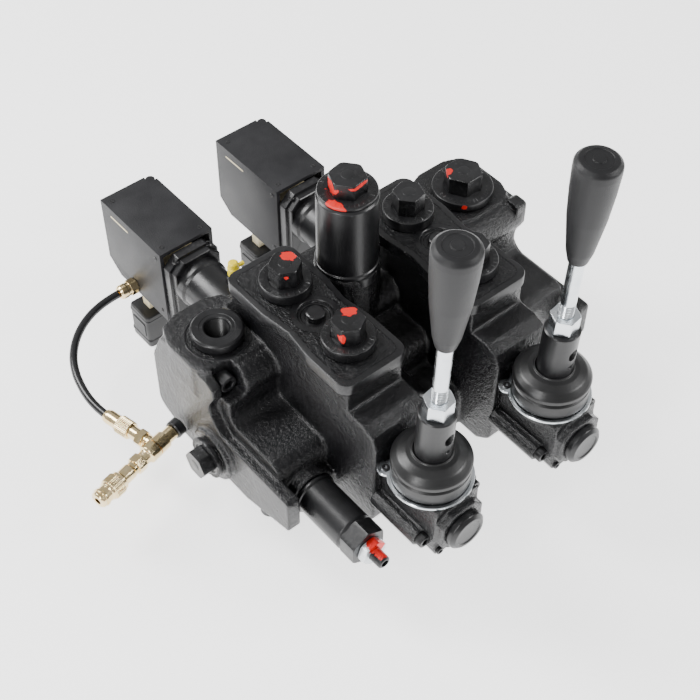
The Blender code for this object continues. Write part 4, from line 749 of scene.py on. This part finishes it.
sleeve = [(0, 100), (12, 100), (12, COLLAR_TOP + 0.3), (tower_r + 1.2, COLLAR_TOP + 0.3),
          (tower_r + 1.2, COLLAR_TOP + 2.6, 0.8),
          (tower_r, COLLAR_TOP + 3.4, 0.8), (tower_r, high[2] / MM - 1.2, 0.8),
          (tower_r - 1.5, high[2] / MM, 0.3),
          (0, high[2] / MM)]
settle(piece("tower_tube", [turned(sleeve, tower_axis, 96)], smooth_paint), "valve", "black_plugs",
       "tower_sleeve")
collar = outline([(30, 10, 8), (0, 37, 12), (-30, 10, 8), (0, -17, 12)])
flat_pad("tower_collar", collar, COLLAR_TOP * MM + 0.1 * MM, 8 * MM)

# %% [markdown]
# ## Load-check caps and relief cartridge
# A load check lifts its poppet against a short coil spring under a screwed cap. In the valve the
# spring is squashed towards the cap as the poppet rises; here it is built at one length. The relief
# valve is a turned barrel with a lock nut and a screw.

# %% Check caps
for number in SECTIONS:
    node = f"load_check_cap_{number}"
    x, y, _ = centre(node)
    place = Matrix.Translation((x, y, PAD_TOP))
    ring = turned([(7.4, -6), (11.9, -6), (11.9, -1.6, 0.5), (9.8, -1.6, 0.4), (9.2, -2.7, 0.4), (7.4, -2.7),
                   (7.4, -6)],
                  place, 64)
    cap = turned([(0, -8), (6.4, -8), (6.4, 1.4, 0.8), (5.2, 2.0, 0.6), (0, 2.0)], place, 48)
    settle(piece(f"check_cap_{number}", [ring, cap], plug_bare), "valve", "black_plugs", node)

# %% Check springs
def coil(place, radius, wire, low, high, turns, sides=12):
    """A coil spring: a ring of wire carried along (r cos t, r sin t, z), where z climbs evenly with t."""
    t = np.linspace(0, turns * 2 * math.pi, turns * 32 + 1)[:, None]
    around = np.arange(sides) * (2 * math.pi / sides)
    out = radius + wire * np.cos(around)
    rise = low + wire + (high - low - 2 * wire) * t / t[-1]
    grid = np.stack([out * np.cos(t), out * np.sin(t), rise + wire * np.sin(around)], -1)
    ends = [np.repeat(grid[end].mean(0)[None], sides, 0)[None] for end in (0, -1)]
    return moved(np.concatenate([ends[0], grid, ends[1]]) * MM, place)


for number in SECTIONS:
    node = f"load_check_spring_{number}"
    low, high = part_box(node)
    x, y, _ = centre(f"load_check_poppet_{number}")
    spring = piece(f"check_coil_{number}", [coil(Matrix.Translation((x, y, 0)), 4.4, 0.5, low[2] / MM,
                                                 high[2] / MM, 5)],
                   ground_steel, 60)
    settle(spring, "valve", "spring_steel", node)
    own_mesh(spring)

# %% Relief cartridge
low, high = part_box("relief_cartridge")
RELIEF = Vector((centre("relief_cartridge").x, 0, centre("relief_cartridge").z))
relief_face = -68.0
relief_end = low[1] / MM
forward = facing((0, -1, 0), (RELIEF.x, relief_face * MM, RELIEF.z))
reach = -(relief_end - relief_face)
barrel = turned([(0, -20), (9.4, -20), (9.4, 0.3), (15.2, 0.3, 0.3), (15.2, 2.6, 0.6), (14.0, 3.4, 0.6),
                 (14.0, reach - 15.0, 1.4), (12.2, reach - 12.4), (0, reach - 12.4)], forward, 96)
bonnet = hexagonal(25, reach - 13.6, reach, forward, turn=math.radians(30), both=True)
settle(piece("relief_barrel", [barrel, bonnet], smooth_paint, 28), "valve", "black_plugs", "relief_cartridge")
relief_red = ((RELIEF.x + 3 * MM, (relief_end - 7) * MM, RELIEF.z + 8 * MM), (8 * MM, 9 * MM, 8 * MM))
nut_zinc = finish("zinc_with_marking_paint", ZINC, (0.16, 0.32), metal=0.6,
                  skin=(300, 1500, 0.00005), dabs=(relief_red,))
nut = hexagonal(17, reach + 0.3, reach + 6.3, forward, bore=4.9, both=True, turn=math.radians(12))
settle(piece("relief_nut", [nut], nut_zinc, 28), "valve", "zinc_plate", "relief_lock_nut")
tip_paint = marked("marked_paint_relief_tip", relief_red)
screw = turned([(0, reach - 30), *threads(4.8, 0.35, 1.0, reach - 30, reach + 12), (4.6, reach + 15, 0.5),
                (3.6, reach + 15.9, 0.3), (2.6, reach + 15.9), (2.4, reach + 12.5), (0, reach + 12.5)],
               forward, 48)
settle(piece("relief_screw", [screw], tip_paint), "relief_screw", "black_plugs", "relief_adjust_screw")
print("relief valve reaches", round(reach + 15.9, 1), "mm out")

# %% [markdown]
# ## Levers
# Each lever is a black hub that leans forwards by 1.7 degrees, a plated lock nut and rod, and a tapered grip.
# All its pieces share one matrix, which puts local +Z along the lever with its zero at the pivot.

# %% Hub, nut and rod
def dimpled(place, radius, low, high, holes, sides=160, rows=110):
    """A hub wall with holes: radius - depth * s, where s steps from 0 to 1 inside each ellipse."""
    angle = np.arange(sides) * (2 * math.pi / sides)
    height = np.linspace(low, high, rows)
    t, z = np.meshgrid(angle, height)
    wall = np.full_like(t, radius)
    for at, level, half_wide, half_tall, depth in holes:
        across = radius * np.sin((t - at + math.pi) % (2 * math.pi) - math.pi)
        near = np.cos(t - at) > 0.2
        size = np.sqrt((across / half_wide) ** 2 + ((z - level) / half_tall) ** 2)
        step = np.clip((1.08 - size) / 0.16, 0, 1)
        wall -= depth * step * near
    grid = np.stack([wall * np.cos(t), wall * np.sin(t), z], -1)
    closed = [grid[:1] * [0, 0, 1], grid[:1] * [0.93, 0.93, 1] - [0, 0, 0.7], grid,
              grid[-1:] * [0.93, 0.93, 1] + [0, 0, 0.7],
              grid[-1:] * [0, 0, 1] + [0, 0, 0.7]]
    return moved(np.concatenate(closed) * MM, place)


def rod_grid(place, radius, low, high, thread_to, sides=40):
    """A rod whose lowest stretch is threaded: radius + 0.3 mm * sin(2 pi z / 1.5 mm - t)."""
    height = np.arange(low, high, 0.25)
    t, z = np.meshgrid(np.arange(sides) * (2 * math.pi / sides), height)
    fade = np.clip((thread_to - z) / 1.5, 0, 1)
    wall = radius - 0.25 * fade + 0.27 * fade * np.sin(2 * math.pi * z / 1.5 - t)
    grid = np.stack([wall * np.cos(t), wall * np.sin(t), z], -1)
    return moved(np.concatenate([grid[:1] * [0, 0, 1], grid, grid[-1:] * [0, 0, 1]]) * MM, place)


def knob_grid(place, low, tall):
    """A grip turned from a swelling profile, with a shallow round recess in its domed top."""
    top = low + tall
    return turned([(0, low), (5.2, low), (6.2, low + 0.2, 0.8), (8.4, low + 9, 14), (11.9, low + 36, 30),
                   (13.4, low + 56, 40),
                   (14.0, top - 8, 10), (13.9, top - 3.2, 2.6), (11.4, top - 0.9, 2.0), (8.6, top - 0.4, 0.4),
                   (8.2, top - 1.0, 0.3), (4.0, top - 0.7, 0.4), (3.7, top - 0.1, 0.3), (0, top - 0.1)],
                  place, 96, 8)


HUB_R, HUB_LOW, HUB_HIGH = 11.7, 9.5, 49.3
NUT_FLATS, NUT_LOW, NUT_HIGH = 17, 50.3, 62.2
ROD_R, ROD_LOW, ROD_HIGH, THREAD_TOP = 4.9, 36, 121, 74
GRIP_LOW, GRIP_TALL = 109.5, 78.8
for number in SECTIONS:
    lever = f"lever_{number}"
    lean = Matrix.Translation(PIVOTS[number]) @ Matrix.Rotation(LEVER_LEAN, 4, "X")
    holes = [(math.radians(-85), 33, 3.4, 4.2, 6.0), (math.radians(-88), 22, 1.8, 1.5, 1.6),
             (math.radians(95), 33, 3.4, 4.2, 6.0)]
    ball = turned([(0, -10), (5, -8.7, 4), (10, 0, 8), (5, 8.7, 4), (0, 10)], lean, 32)
    straight = Matrix.Translation(PIVOTS[number])
    arm = turned([(0, -40.5), (4.4, -37, 3), (4.4, -34.5, 2.5), (3, -31, 1), (3, -5), (0, -5)], straight, 24)
    neck = turned([(0, 5), (6, 5), (6, 13), (0, 13)], lean, 32)
    hub = dimpled(lean, HUB_R, HUB_LOW, HUB_HIGH, holes)
    settle(piece(f"lever_hub_{number}", [ball, arm, neck, hub], smooth_paint), lever, "black_plugs",
           f"lever_fork_{number}")
    nut = hexagonal(NUT_FLATS, NUT_LOW, NUT_HIGH, lean, bore=5.2, both=True, turn=math.radians(8))
    settle(piece(f"lever_nut_{number}", [nut], zinc, 28), lever, "zinc_plate", f"lever_lock_nut_{number}")
    settle(piece(f"lever_bar_{number}", [rod_grid(lean, ROD_R, ROD_LOW, ROD_HIGH, THREAD_TOP)], zinc), lever,
           "zinc_plate",
           f"lever_rod_{number}")
    settle(piece(f"lever_grip_{number}", [knob_grid(lean, GRIP_LOW, GRIP_TALL)], knob_plastic), lever,
           "knob_plastic",
           f"lever_knob_{number}")
print("levers lean", round(math.degrees(LEVER_LEAN), 1), "degrees")

# %% [markdown]
# ## Rubber boots
# A boot is moulded as one turned skin: a skirt over the housing's socket, a groove, a lip and a dome
# that hugs the hub. Its foot stays with the valve and its mouth moves with the lever; here the skin
# is built once, in place, and rides on neither body.

# %% Boots and clamp plates
EAR, EAR_R = (-19.0, 20.1), 5.5
for number in SECTIONS:
    low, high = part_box(f"lever_boot_{number}")
    pivot = PIVOTS[number]
    place = Matrix.Translation((pivot.x, pivot.y, 0))
    foot = low[2] / MM
    boot = [(22.5, foot + 0.1), (25.0, foot + 0.1, 0.5), (25.0, foot + 9.6, 0.6), (23.2, foot + 10.8, 0.6),
            (23.2, foot + 11.8, 0.6), (25.4, foot + 13.0, 0.8), (25.4, foot + 15.8, 1.6),
            (24.4, foot + 17.2, 1.0),
            (21.4, foot + 20.2, 6.0), (16.4, foot + 22.4, 5.0), (13.3, foot + 22.9, 0.8),
            (12.9, foot + 23.7, 0.5),
            (12.0, foot + 23.8, 0.3), (11.8, foot + 22.0), (15.0, foot + 20.8, 1.2), (19.6, foot + 18.4, 2.0),
            (22.5, foot + 14.6, 1.0), (22.5, foot + 0.1)]
    skin = piece(f"boot_{number}", [turned(boot, place, 96, 5)], rubber, 60)
    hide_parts(f"lever_boot_{number}")
    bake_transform(skin)
    low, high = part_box(f"clamp_plate_{number}")
    angle = np.arange(360) * (2 * math.pi / 360)
    disc_r = (high[0] - low[0]) / 2 / MM
    toward = np.clip(np.cos(angle) * EAR[0] + np.sin(angle) * EAR[1], 0, None)
    miss = np.abs(np.cos(angle) * EAR[1] - np.sin(angle) * EAR[0])
    chord = np.sqrt(np.clip(EAR_R ** 2 - miss ** 2, 0, None))
    reach = np.where((miss < EAR_R) & (toward > 0), toward + chord, 0)
    limit = (high[1] - pivot.y) / MM
    radius = np.maximum(disc_r, reach)
    radius = np.where(np.sin(angle) * radius > limit, limit / np.maximum(np.sin(angle), 0.01), radius)
    ring = np.stack([radius * np.cos(angle), radius * np.sin(angle)], -1) * MM
    rows = [(0.3 * MM, low[2]), (0, low[2] + 0.3 * MM), (0, high[2] - 0.4 * MM), (0.4 * MM, high[2])]
    settle(piece(f"clamp_{number}", [plate(ring, rows, place)], zinc), "valve", "zinc_plate",
           f"clamp_plate_{number}")
print("boots rise to", round(high[2], 3))

# %% [markdown]
# ## Actuators
# Behind each section stands an air cylinder with a round flange, then an adapter plate, then a
# powder-coated cover. The cover's edges are folded sheet, so a copy of the solid gets a small round bevel.

# %% Bevelled copies
def bevelled_copy(name, node, material, width, segments=3):
    """The solid with its flat faces joined again and every edge over 30 degrees rounded."""
    bm = merged_copy(node)
    bmesh.ops.dissolve_limit(bm, angle_limit=math.radians(2), verts=bm.verts, edges=bm.edges)
    mesh = bpy.data.meshes.new(name)
    bm.to_mesh(mesh)
    bm.free()
    made = show(name, mesh, material)
    bevel = made.modifiers.new("edges", "BEVEL")
    bevel.width = width
    bevel.segments = segments
    bevel.limit_method = "ANGLE"
    bevel.angle_limit = math.radians(30)
    baked(made)
    made.data.shade_smooth()
    made.data.set_sharp_from_angle(angle=math.radians(50))
    return made


def cap_screw(place, radius, tall, socket, knurls=0, sides=96):
    """A socket screw's head: knurls take 3.5% of |sin(n t / 2)| off r, and its recess is a hexagon."""
    angle = np.arange(sides) * (2 * math.pi / sides)
    rim = radius * (1 - 0.035 * np.abs(np.sin(knurls * angle / 2))) if knurls else np.full(sides, radius)
    hexagon = socket / 2 / np.cos(np.mod(angle, math.pi / 3) - math.pi / 6)
    edge = 0.09 * radius
    rows = [(0 * rim, 0), (rim, 0), (rim, tall - edge), (rim - edge, tall), (hexagon + 0.3, tall),
            (hexagon, tall - 0.3),
            (hexagon, tall - 0.6 * radius), (0 * rim, tall - 0.8 * radius)]
    grid = np.stack([np.stack([r * np.cos(angle), r * np.sin(angle), np.full(sides, z)], -1) for r,
                     z in rows])
    return moved(grid * MM, place)


# %% Bonnets, adapters and covers
ADAPTER_FRONT, ADAPTER_REAR = 112.0, 124.7
for number in SECTIONS:
    x = PIVOTS[number].x
    rearward = facing((0, 1, 0), (x, 0, 48 * MM))
    node = f"actuator_bonnet_{number}"
    barrel = turned([(0, 60.4), (24, 60.4, 0.4), (24, 67.2, 1.4), (21, 68.4, 0.5), (18.6, 68.6, 1.5),
                     (18, 72, 1.5),
                     (18, 104, 1.0), (19.4, 106, 1.0), (19.4, ADAPTER_FRONT + 1), (0, ADAPTER_FRONT + 1)],
                    rearward, 96)
    low, high = (14.0, 73.0)
    outer = outline([(x / MM - 21, low, 2), (x / MM + 21, low, 2), (x / MM + 21, high - 9, 1.5),
                     (x / MM + 12, high, 1.5),
                     (x / MM - 12, high, 1.5), (x / MM - 21, high - 9, 1.5)], 3)
    lay_back = Matrix.Rotation(math.pi / 2, 4, "X")
    ledge = [(0.8 * MM, -ADAPTER_REAR * MM), (0, -(ADAPTER_REAR - 0.8) * MM),
             (0, -(ADAPTER_FRONT + 5.5) * MM),
             (1.8 * MM, -(ADAPTER_FRONT + 5) * MM), (1.8 * MM, -(ADAPTER_FRONT + 0.6) * MM),
             (2.4 * MM, -ADAPTER_FRONT * MM)]
    adapter = plate(outer, ledge, lay_back)
    heads = [cap_screw(facing((0, 1, 0), (x + 20.4 * MM * math.cos(a), 67.8 * MM,
                                          48 * MM + 20.4 * MM * math.sin(a))),
                       3.4, 3.6, 3.0) for a in (math.pi / 4, 3 * math.pi / 4, 5 * math.pi / 4,
                                                7 * math.pi / 4)]
    extra = [cap_screw(facing((0, 0, 1), (x + side * 14 * MM, 118.6 * MM, 69.5 * MM)), 2.6, 1.6,
                       2.5) for side in (-1, 1)]
    grids = [barrel, adapter, *heads, *extra]
    if number == "1":
        grids.append(turned([(0, 60), (5.6, 60), (5.6, 69.6, 0.6), (4.8, 71.2, 0.4), (0, 71.2)],
                            Matrix.Translation((x + 9.7 * MM, 82 * MM, 0)), 48))
    settle(piece(f"bonnet_{number}", grids, smooth_paint), "valve", "black_painted_cast_iron", node)
    cover = bevelled_copy(f"cover_{number}", f"actuator_box_{number}", cover_coat, 0.9 * MM)
    settle(cover, "valve", "dark_grey_covers", f"actuator_box_{number}")
    low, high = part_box(f"actuator_box_{number}")
    side = low.x - 0.05 * MM
    sideways = Matrix(((0, 0, -1, side), (-1, 0, 0, 0), (0, 1, 0, 0), (0, 0, 0, 1)))
    # The light strip on the cover's side face is a painted highlight along a slit.
    highlight_strip = outline([(-188, 67.4, 0.6), (-166, 67.4, 0.6), (-166, 69.0, 0.6), (-188, 69.0, 0.6)], 3)
    settle(piece(f"cover_slit_{number}", [plate(highlight_strip, [(0, -0.6 * MM), (0, 0.0), (0.2 * MM, 0.12 * MM)],
                                                sideways)],
                 beige_nylon), "valve", "beige_plastic")
    dots = [cap_screw(facing((-1, 0, 0), (side + 0.9 * MM, y * MM, z * MM)), 1.7, 1.3, 1.3) for y,
            z in ((131, 16), (131, 69))]
    top_dots = [cap_screw(facing((0, 0, 1), (low.x + dx * MM, y * MM, high.z - 0.9 * MM)), 1.9, 1.2, 1.4)
                for dx, y in ((6, 131), (39, 131), (6, 193))]
    settle(piece(f"cover_screws_{number}", dots + top_dots, black_nylon), "valve", "dark_grey_covers")
print("actuators: 2")

# %% [markdown]
# ## Electrical plugs
# The neck hangs the plug under the cover. Two raised bands run round the plug's body, and its inlet
# side has a raised panel.

# %% Plugs and necks
for number in SECTIONS:
    neck = bevelled_copy(f"pilot_neck_{number}", f"pilot_valve_{number}", beige_nylon, 0.7 * MM)
    settle(neck, "valve", "beige_plastic", f"pilot_valve_{number}")
    shell = bevelled_copy(f"plug_shell_{number}", f"connector_plug_{number}", black_nylon, 1.2 * MM)
    settle(shell, "valve", "connector_plastic", f"connector_plug_{number}")
    low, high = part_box(f"connector_plug_{number}")
    ribs = []
    for level in (-11.0, -32.0):
        ring = outline([(low.x / MM - 0.3, low.y / MM - 0.3, 2.6), (high.x / MM + 0.3, low.y / MM - 0.3, 2.6),
                        (high.x / MM + 0.3, high.y / MM + 0.3, 2.6),
                        (low.x / MM - 0.3, high.y / MM + 0.3, 2.6)], 5)
        ribs.append(plate(ring, [(0.4 * MM, (level - 1.2) * MM), (0, (level - 0.9) * MM),
                                 (0, (level + 0.9) * MM), (0.4 * MM, (level + 1.2) * MM)]))
    front = Matrix(((0, 0, -1, low.x), (-1, 0, 0, 0), (0, 1, 0, 0), (0, 0, 0, 1)))
    panel = outline([(-168, -28, 1.2), (-152, -28, 1.2), (-152, -15, 1.2), (-168, -15, 1.2)], 4)
    ribs.append(plate(panel, [(0, -0.8 * MM), (0, 0.3 * MM), (0.3 * MM, 0.6 * MM)], front))
    ribs.append(cap_screw(facing((0, 0, -1), ((low.x + high.x) / 2, (low.y + high.y) / 2, low.z + 1.2 * MM)),
                          3.2, 1.3, 2.6))
    settle(piece(f"plug_ribs_{number}", ribs, black_nylon), "valve", "connector_plastic")
print("electrical plugs: 2")

# %% [markdown]
# ## Lever housings' trim
# A round cap closes the nose of each housing, and cap screws hold the housing to its section.

# %% Nose caps and screws
for number in SECTIONS:
    x = PIVOTS[number].x
    node = f"lever_box_cap_{number}"
    low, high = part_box(node)
    nose = facing((0, -1, 0), (x, high.y, (low.z + high.z) / 2))
    cap = turned([(0, -1), (13.4, -1), (14.0, 0.3, 0.4), (14.0, 3.8, 1.4), (11.6, 5.9, 0.8), (9.6, 5.9, 0.4),
                  (8.9, 5.2, 0.4),
                  (0, 5.2)], nose, 96)
    settle(piece(f"nose_cap_{number}", [cap], smooth_paint), "valve", "black_painted_cast_iron", node)
    heads = [cap_screw(facing((0, -1, 0), (x + dx * MM, -146.8 * MM, z * MM)), 4.6, 5.2, 4.4, 28) for dx,
             z in ((-20, 38), (20, 60))]
    heads.append(cap_screw(facing((0, -1, 0), (x - 12.6 * MM, -156.6 * MM, 28.8 * MM)), 2.6, 2.2, 2.4))
    settle(piece(f"housing_screws_{number}", heads, smooth_paint), "valve", "black_plugs")
    ear = cap_screw(Matrix.Translation((x - 19 * MM, -112.1 * MM, 73.0 * MM)), 2.6, 1.0, 1.8)
    settle(piece(f"ear_screw_{number}", [ear], smooth_paint), "valve", "black_plugs")

# %% Screws at the ends of the body
low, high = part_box("pocket_screw")
pocket = facing((0, -1, 0), ((low.x + high.x) / 2, 7.7 * MM, (low.z + high.z) / 2))
settle(piece("pocket_socket_screw", [cap_screw(pocket, 6.0, 9.0, 6.0, 36, 216)], smooth_paint), "valve",
       "black_plugs",
       "pocket_screw")
for number in SECTIONS:
    low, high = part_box(f"mounting_bolt_{number}")
    under = facing((0, 0, -1), ((low.x + high.x) / 2, (low.y + high.y) / 2, -0.3 * MM))
    shank = turned([(0, -20), (4, -20), (4, 0.2), (0, 0.2)], under, 32)
    settle(piece(f"frame_bolt_{number}", [cap_screw(under, 6.5, 7.7, 6.0, 36, 216), shank], smooth_paint),
           "valve",
           "black_plugs", f"mounting_bolt_{number}")

# %% [markdown]
# ## Air supply
# The tee's run is turned 13 degrees from X, so its pieces share one matrix. Knurls and hexagons come
# from the same two grids as before.

# %% Fittings
TEE = Matrix.Translation((-147 * MM, 36 * MM, 8 * MM)) @ Matrix.Rotation(math.radians(13), 4, "Z")


def along(way):
    """A matrix at the tee's middle whose +Z runs along one of the tee's own directions."""
    return TEE @ Vector(way).to_track_quat("Z", "Y").to_matrix().to_4x4()


def knurled(place, radius, low, high, count, depth=0.3, sides=240):
    """A grip ring: r - depth * |sin(n t / 2)|, with bevelled ends."""
    angle = np.arange(sides) * (2 * math.pi / sides)
    rim = radius - depth * np.abs(np.sin(count * angle / 2))
    small = np.full(sides, radius - 0.8)
    rows = [(0 * rim, low), (small, low), (rim, low + 0.6), (rim, high - 0.6), (small, high), (0 * rim, high)]
    grid = np.stack([np.stack([r * np.cos(angle), r * np.sin(angle), np.full(sides, z)], -1) for r,
                     z in rows])
    return moved(grid * MM, place)


open_way, body_way, branch_way = along((-1, 0, 0)), along((1, 0, 0)), along((0, 1, 0))
run = turned([(0, 0), (5.2, 0), (7.0, 0.5, 1.0), (7.0, 8.4, 1.0), (5.4, 9.4, 0.4), (5.0, 11), (5.0, 24, 0.3),
              (5.6, 25, 0.3),
              (5.6, 33.6, 0.4), (5.0, 34), (0, 34)], open_way, 64)
inner = turned([(0, 0), (6.8, 0), (6.8, 8.6, 0.8), (5.2, 9.4), (5.2, 17, 0.4), (0, 17)], body_way, 64)
branch = turned([(0, 0), (5.4, 0), (5.4, 7, 0.5), (4.8, 8, 0.3), (4.8, 22), (0, 22)], branch_way, 64)
sleeve_end = turned([(0, 33), (5.6, 33), (5.2, 37, 0.5), (5.2, 43, 0.5), (4.6, 45.8, 0.6), (3.1, 45.8),
                     (3.1, 40), (0, 40)],
                    branch_way, 64)
tee_grids = [run, inner, branch, sleeve_end, hexagonal(11.4, 9.6, 15.0, branch_way, both=True, turn=0.2),
             knurled(branch_way, 6.6, 22.2, 33.4, 40),
             hexagonal(11.6, 14.0, 21.0, open_way, both=True, turn=0.3)]
settle(piece("tee", tee_grids, nickel_brass, 28), "valve", "pale_brass", "air_tee")
coupling = turned([(2.6, 30), (7.0, 34.4), (7.0, 46.5, 0.4), (6.2, 47.2, 0.4), (6.2, 55.2, 0.8),
                   (5.2, 56.2, 0.4), (2.6, 56.2),
                   (2.6, 30)], open_way, 64)
collar_ring = turned([(6.2, 51), (6.9, 51, 0.3), (6.9, 53, 0.3), (6.2, 53), (6.2, 51)], open_way, 64)
settle(piece("quick_coupling", [coupling, collar_ring, knurled(open_way, 8.0, 36.4, 45.0, 44, 0.35)],
             nickel_brass, 28),
       "valve", "pale_brass", "air_coupling")
stub = turned([(0, 17.3), (6.1, 17.3, 0.3), (6.7, 18.2, 0.3), (6.7, 23.9), (0, 23.9)], body_way, 64)
settle(piece("air_stub", [stub], smooth_paint), "valve", "black_plugs", "body_air_stub")
low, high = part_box("air_fitting")
outward = facing((-1, 0, 0), (high.x - 3 * MM, (low.y + high.y) / 2, (low.z + high.z) / 2))
fitting = turned([(0, -3), (4.7, -3), (4.7, 0.2), (5.2, 0.3), (5.2, 8.4, 0.4), (5.6, 9.4, 0.4),
                  (5.6, 13.2, 0.8), (4.6, 14.9, 0.4),
                  (3.1, 14.9), (3.1, 10), (0, 10)], outward, 64)
settle(piece("push_fitting", [fitting, hexagonal(11, 0.5, 6.4, outward, both=True, turn=0.2)], nickel_brass,
             28), "valve",
       "pale_brass", "air_fitting")
low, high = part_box("air_port_cap")
cap_place = Matrix.Translation((PIVOTS["1"].x + 9.7 * MM, 82 * MM, low.z))
cap = turned([(0, 0.1), (4.3, 0.1, 0.3), (4.3, 6.6, 0.3), (3.7, 7.2, 0.3), (3.7, 10.8, 0.9), (2.6, 11.9, 0.6),
              (0, 11.9)],
             cap_place, 64)
nipple = turned([(0, 0), (1.6, 0), (1.6, 8.4, 0.4), (1.0, 8.9), (0, 8.9)],
                facing((1, 0, 0), (PIVOTS["1"].x + 9.7 * MM, 82 * MM, low.z + 6 * MM)), 32)
settle(piece("vent_cap", [cap, nipple], yellow_nylon), "valve", "yellow_plastic", "air_port_cap")
print("air supply placed")

# %% [markdown]
# ## Inner parts
# The pistons, spools, poppets and other springs are solids already and lie inside the body, so they
# only need a finish.

# %% Finishes for the solids that stay
left = sorted(node for node, solid in frame["nodes"].items() if not solid.hide_render)
for node in left:
    frame["nodes"][node].data.materials.clear()
    frame["nodes"][node].data.materials.append(ground_steel)
print("solids that stay:", left)

# %% [markdown]
# ## Floor and light
# The valve stands on a pale floor under a bright, even sky. One large window light
# draws the long soft highlights on the black paint.

# %% Lights, floor
def area_light(name, place, target, size, power):
    lamp = bpy.data.lights.new(name, "AREA")
    lamp.shape = "RECTANGLE"
    lamp.size, lamp.size_y = size
    lamp.energy = power
    made = bpy.data.objects.new(name, lamp)
    bpy.context.scene.collection.objects.link(made)
    made.matrix_world = facing(Vector(place) - Vector(target), place)
    return made


FLOOR_Z = cad_box[0][2]
FLOOR_HALF = 6.0
floor_mesh = bpy.data.meshes.new("floor")
floor_mesh.from_pydata([(x, y, FLOOR_Z) for x, y in ((-FLOOR_HALF, -FLOOR_HALF), (FLOOR_HALF, -FLOOR_HALF),
                                                     (FLOOR_HALF, FLOOR_HALF), (-FLOOR_HALF, FLOOR_HALF))],
                       [], [(0, 1, 2, 3)])
floor_paint = bpy.data.materials.new("pale_floor")
floor_paint.use_nodes = True
for label, value in (("Base Color", (0.86, 0.86, 0.86, 1)), ("Roughness", 0.9),
                     ("Emission Color", (1, 1, 1, 1)),
                     ("Emission Strength", 1.7)):
    floor_paint.node_tree.nodes["Principled BSDF"].inputs[label].default_value = value
floor = bpy.data.objects.new("floor", floor_mesh)
floor_mesh.materials.append(floor_paint)
bpy.context.scene.collection.objects.link(floor)
world = bpy.data.worlds.new("studio")
world.use_nodes = True
world.node_tree.nodes["Background"].inputs["Color"].default_value = (1, 1, 1, 1)
world.node_tree.nodes["Background"].inputs["Strength"].default_value = 0.55
bpy.context.scene.world = world
area_light("window", (-0.6, 0.9, 1.1), (0, 0, 0.05), (0.5, 0.9), 24)
area_light("front", (0.9, -0.9, 1.0), (0, 0, 0.05), (0.5, 0.4), 12)
area_light("strip", (-1.0, -0.3, 0.7), (0, 0, 0.05), (0.15, 0.9), 9)
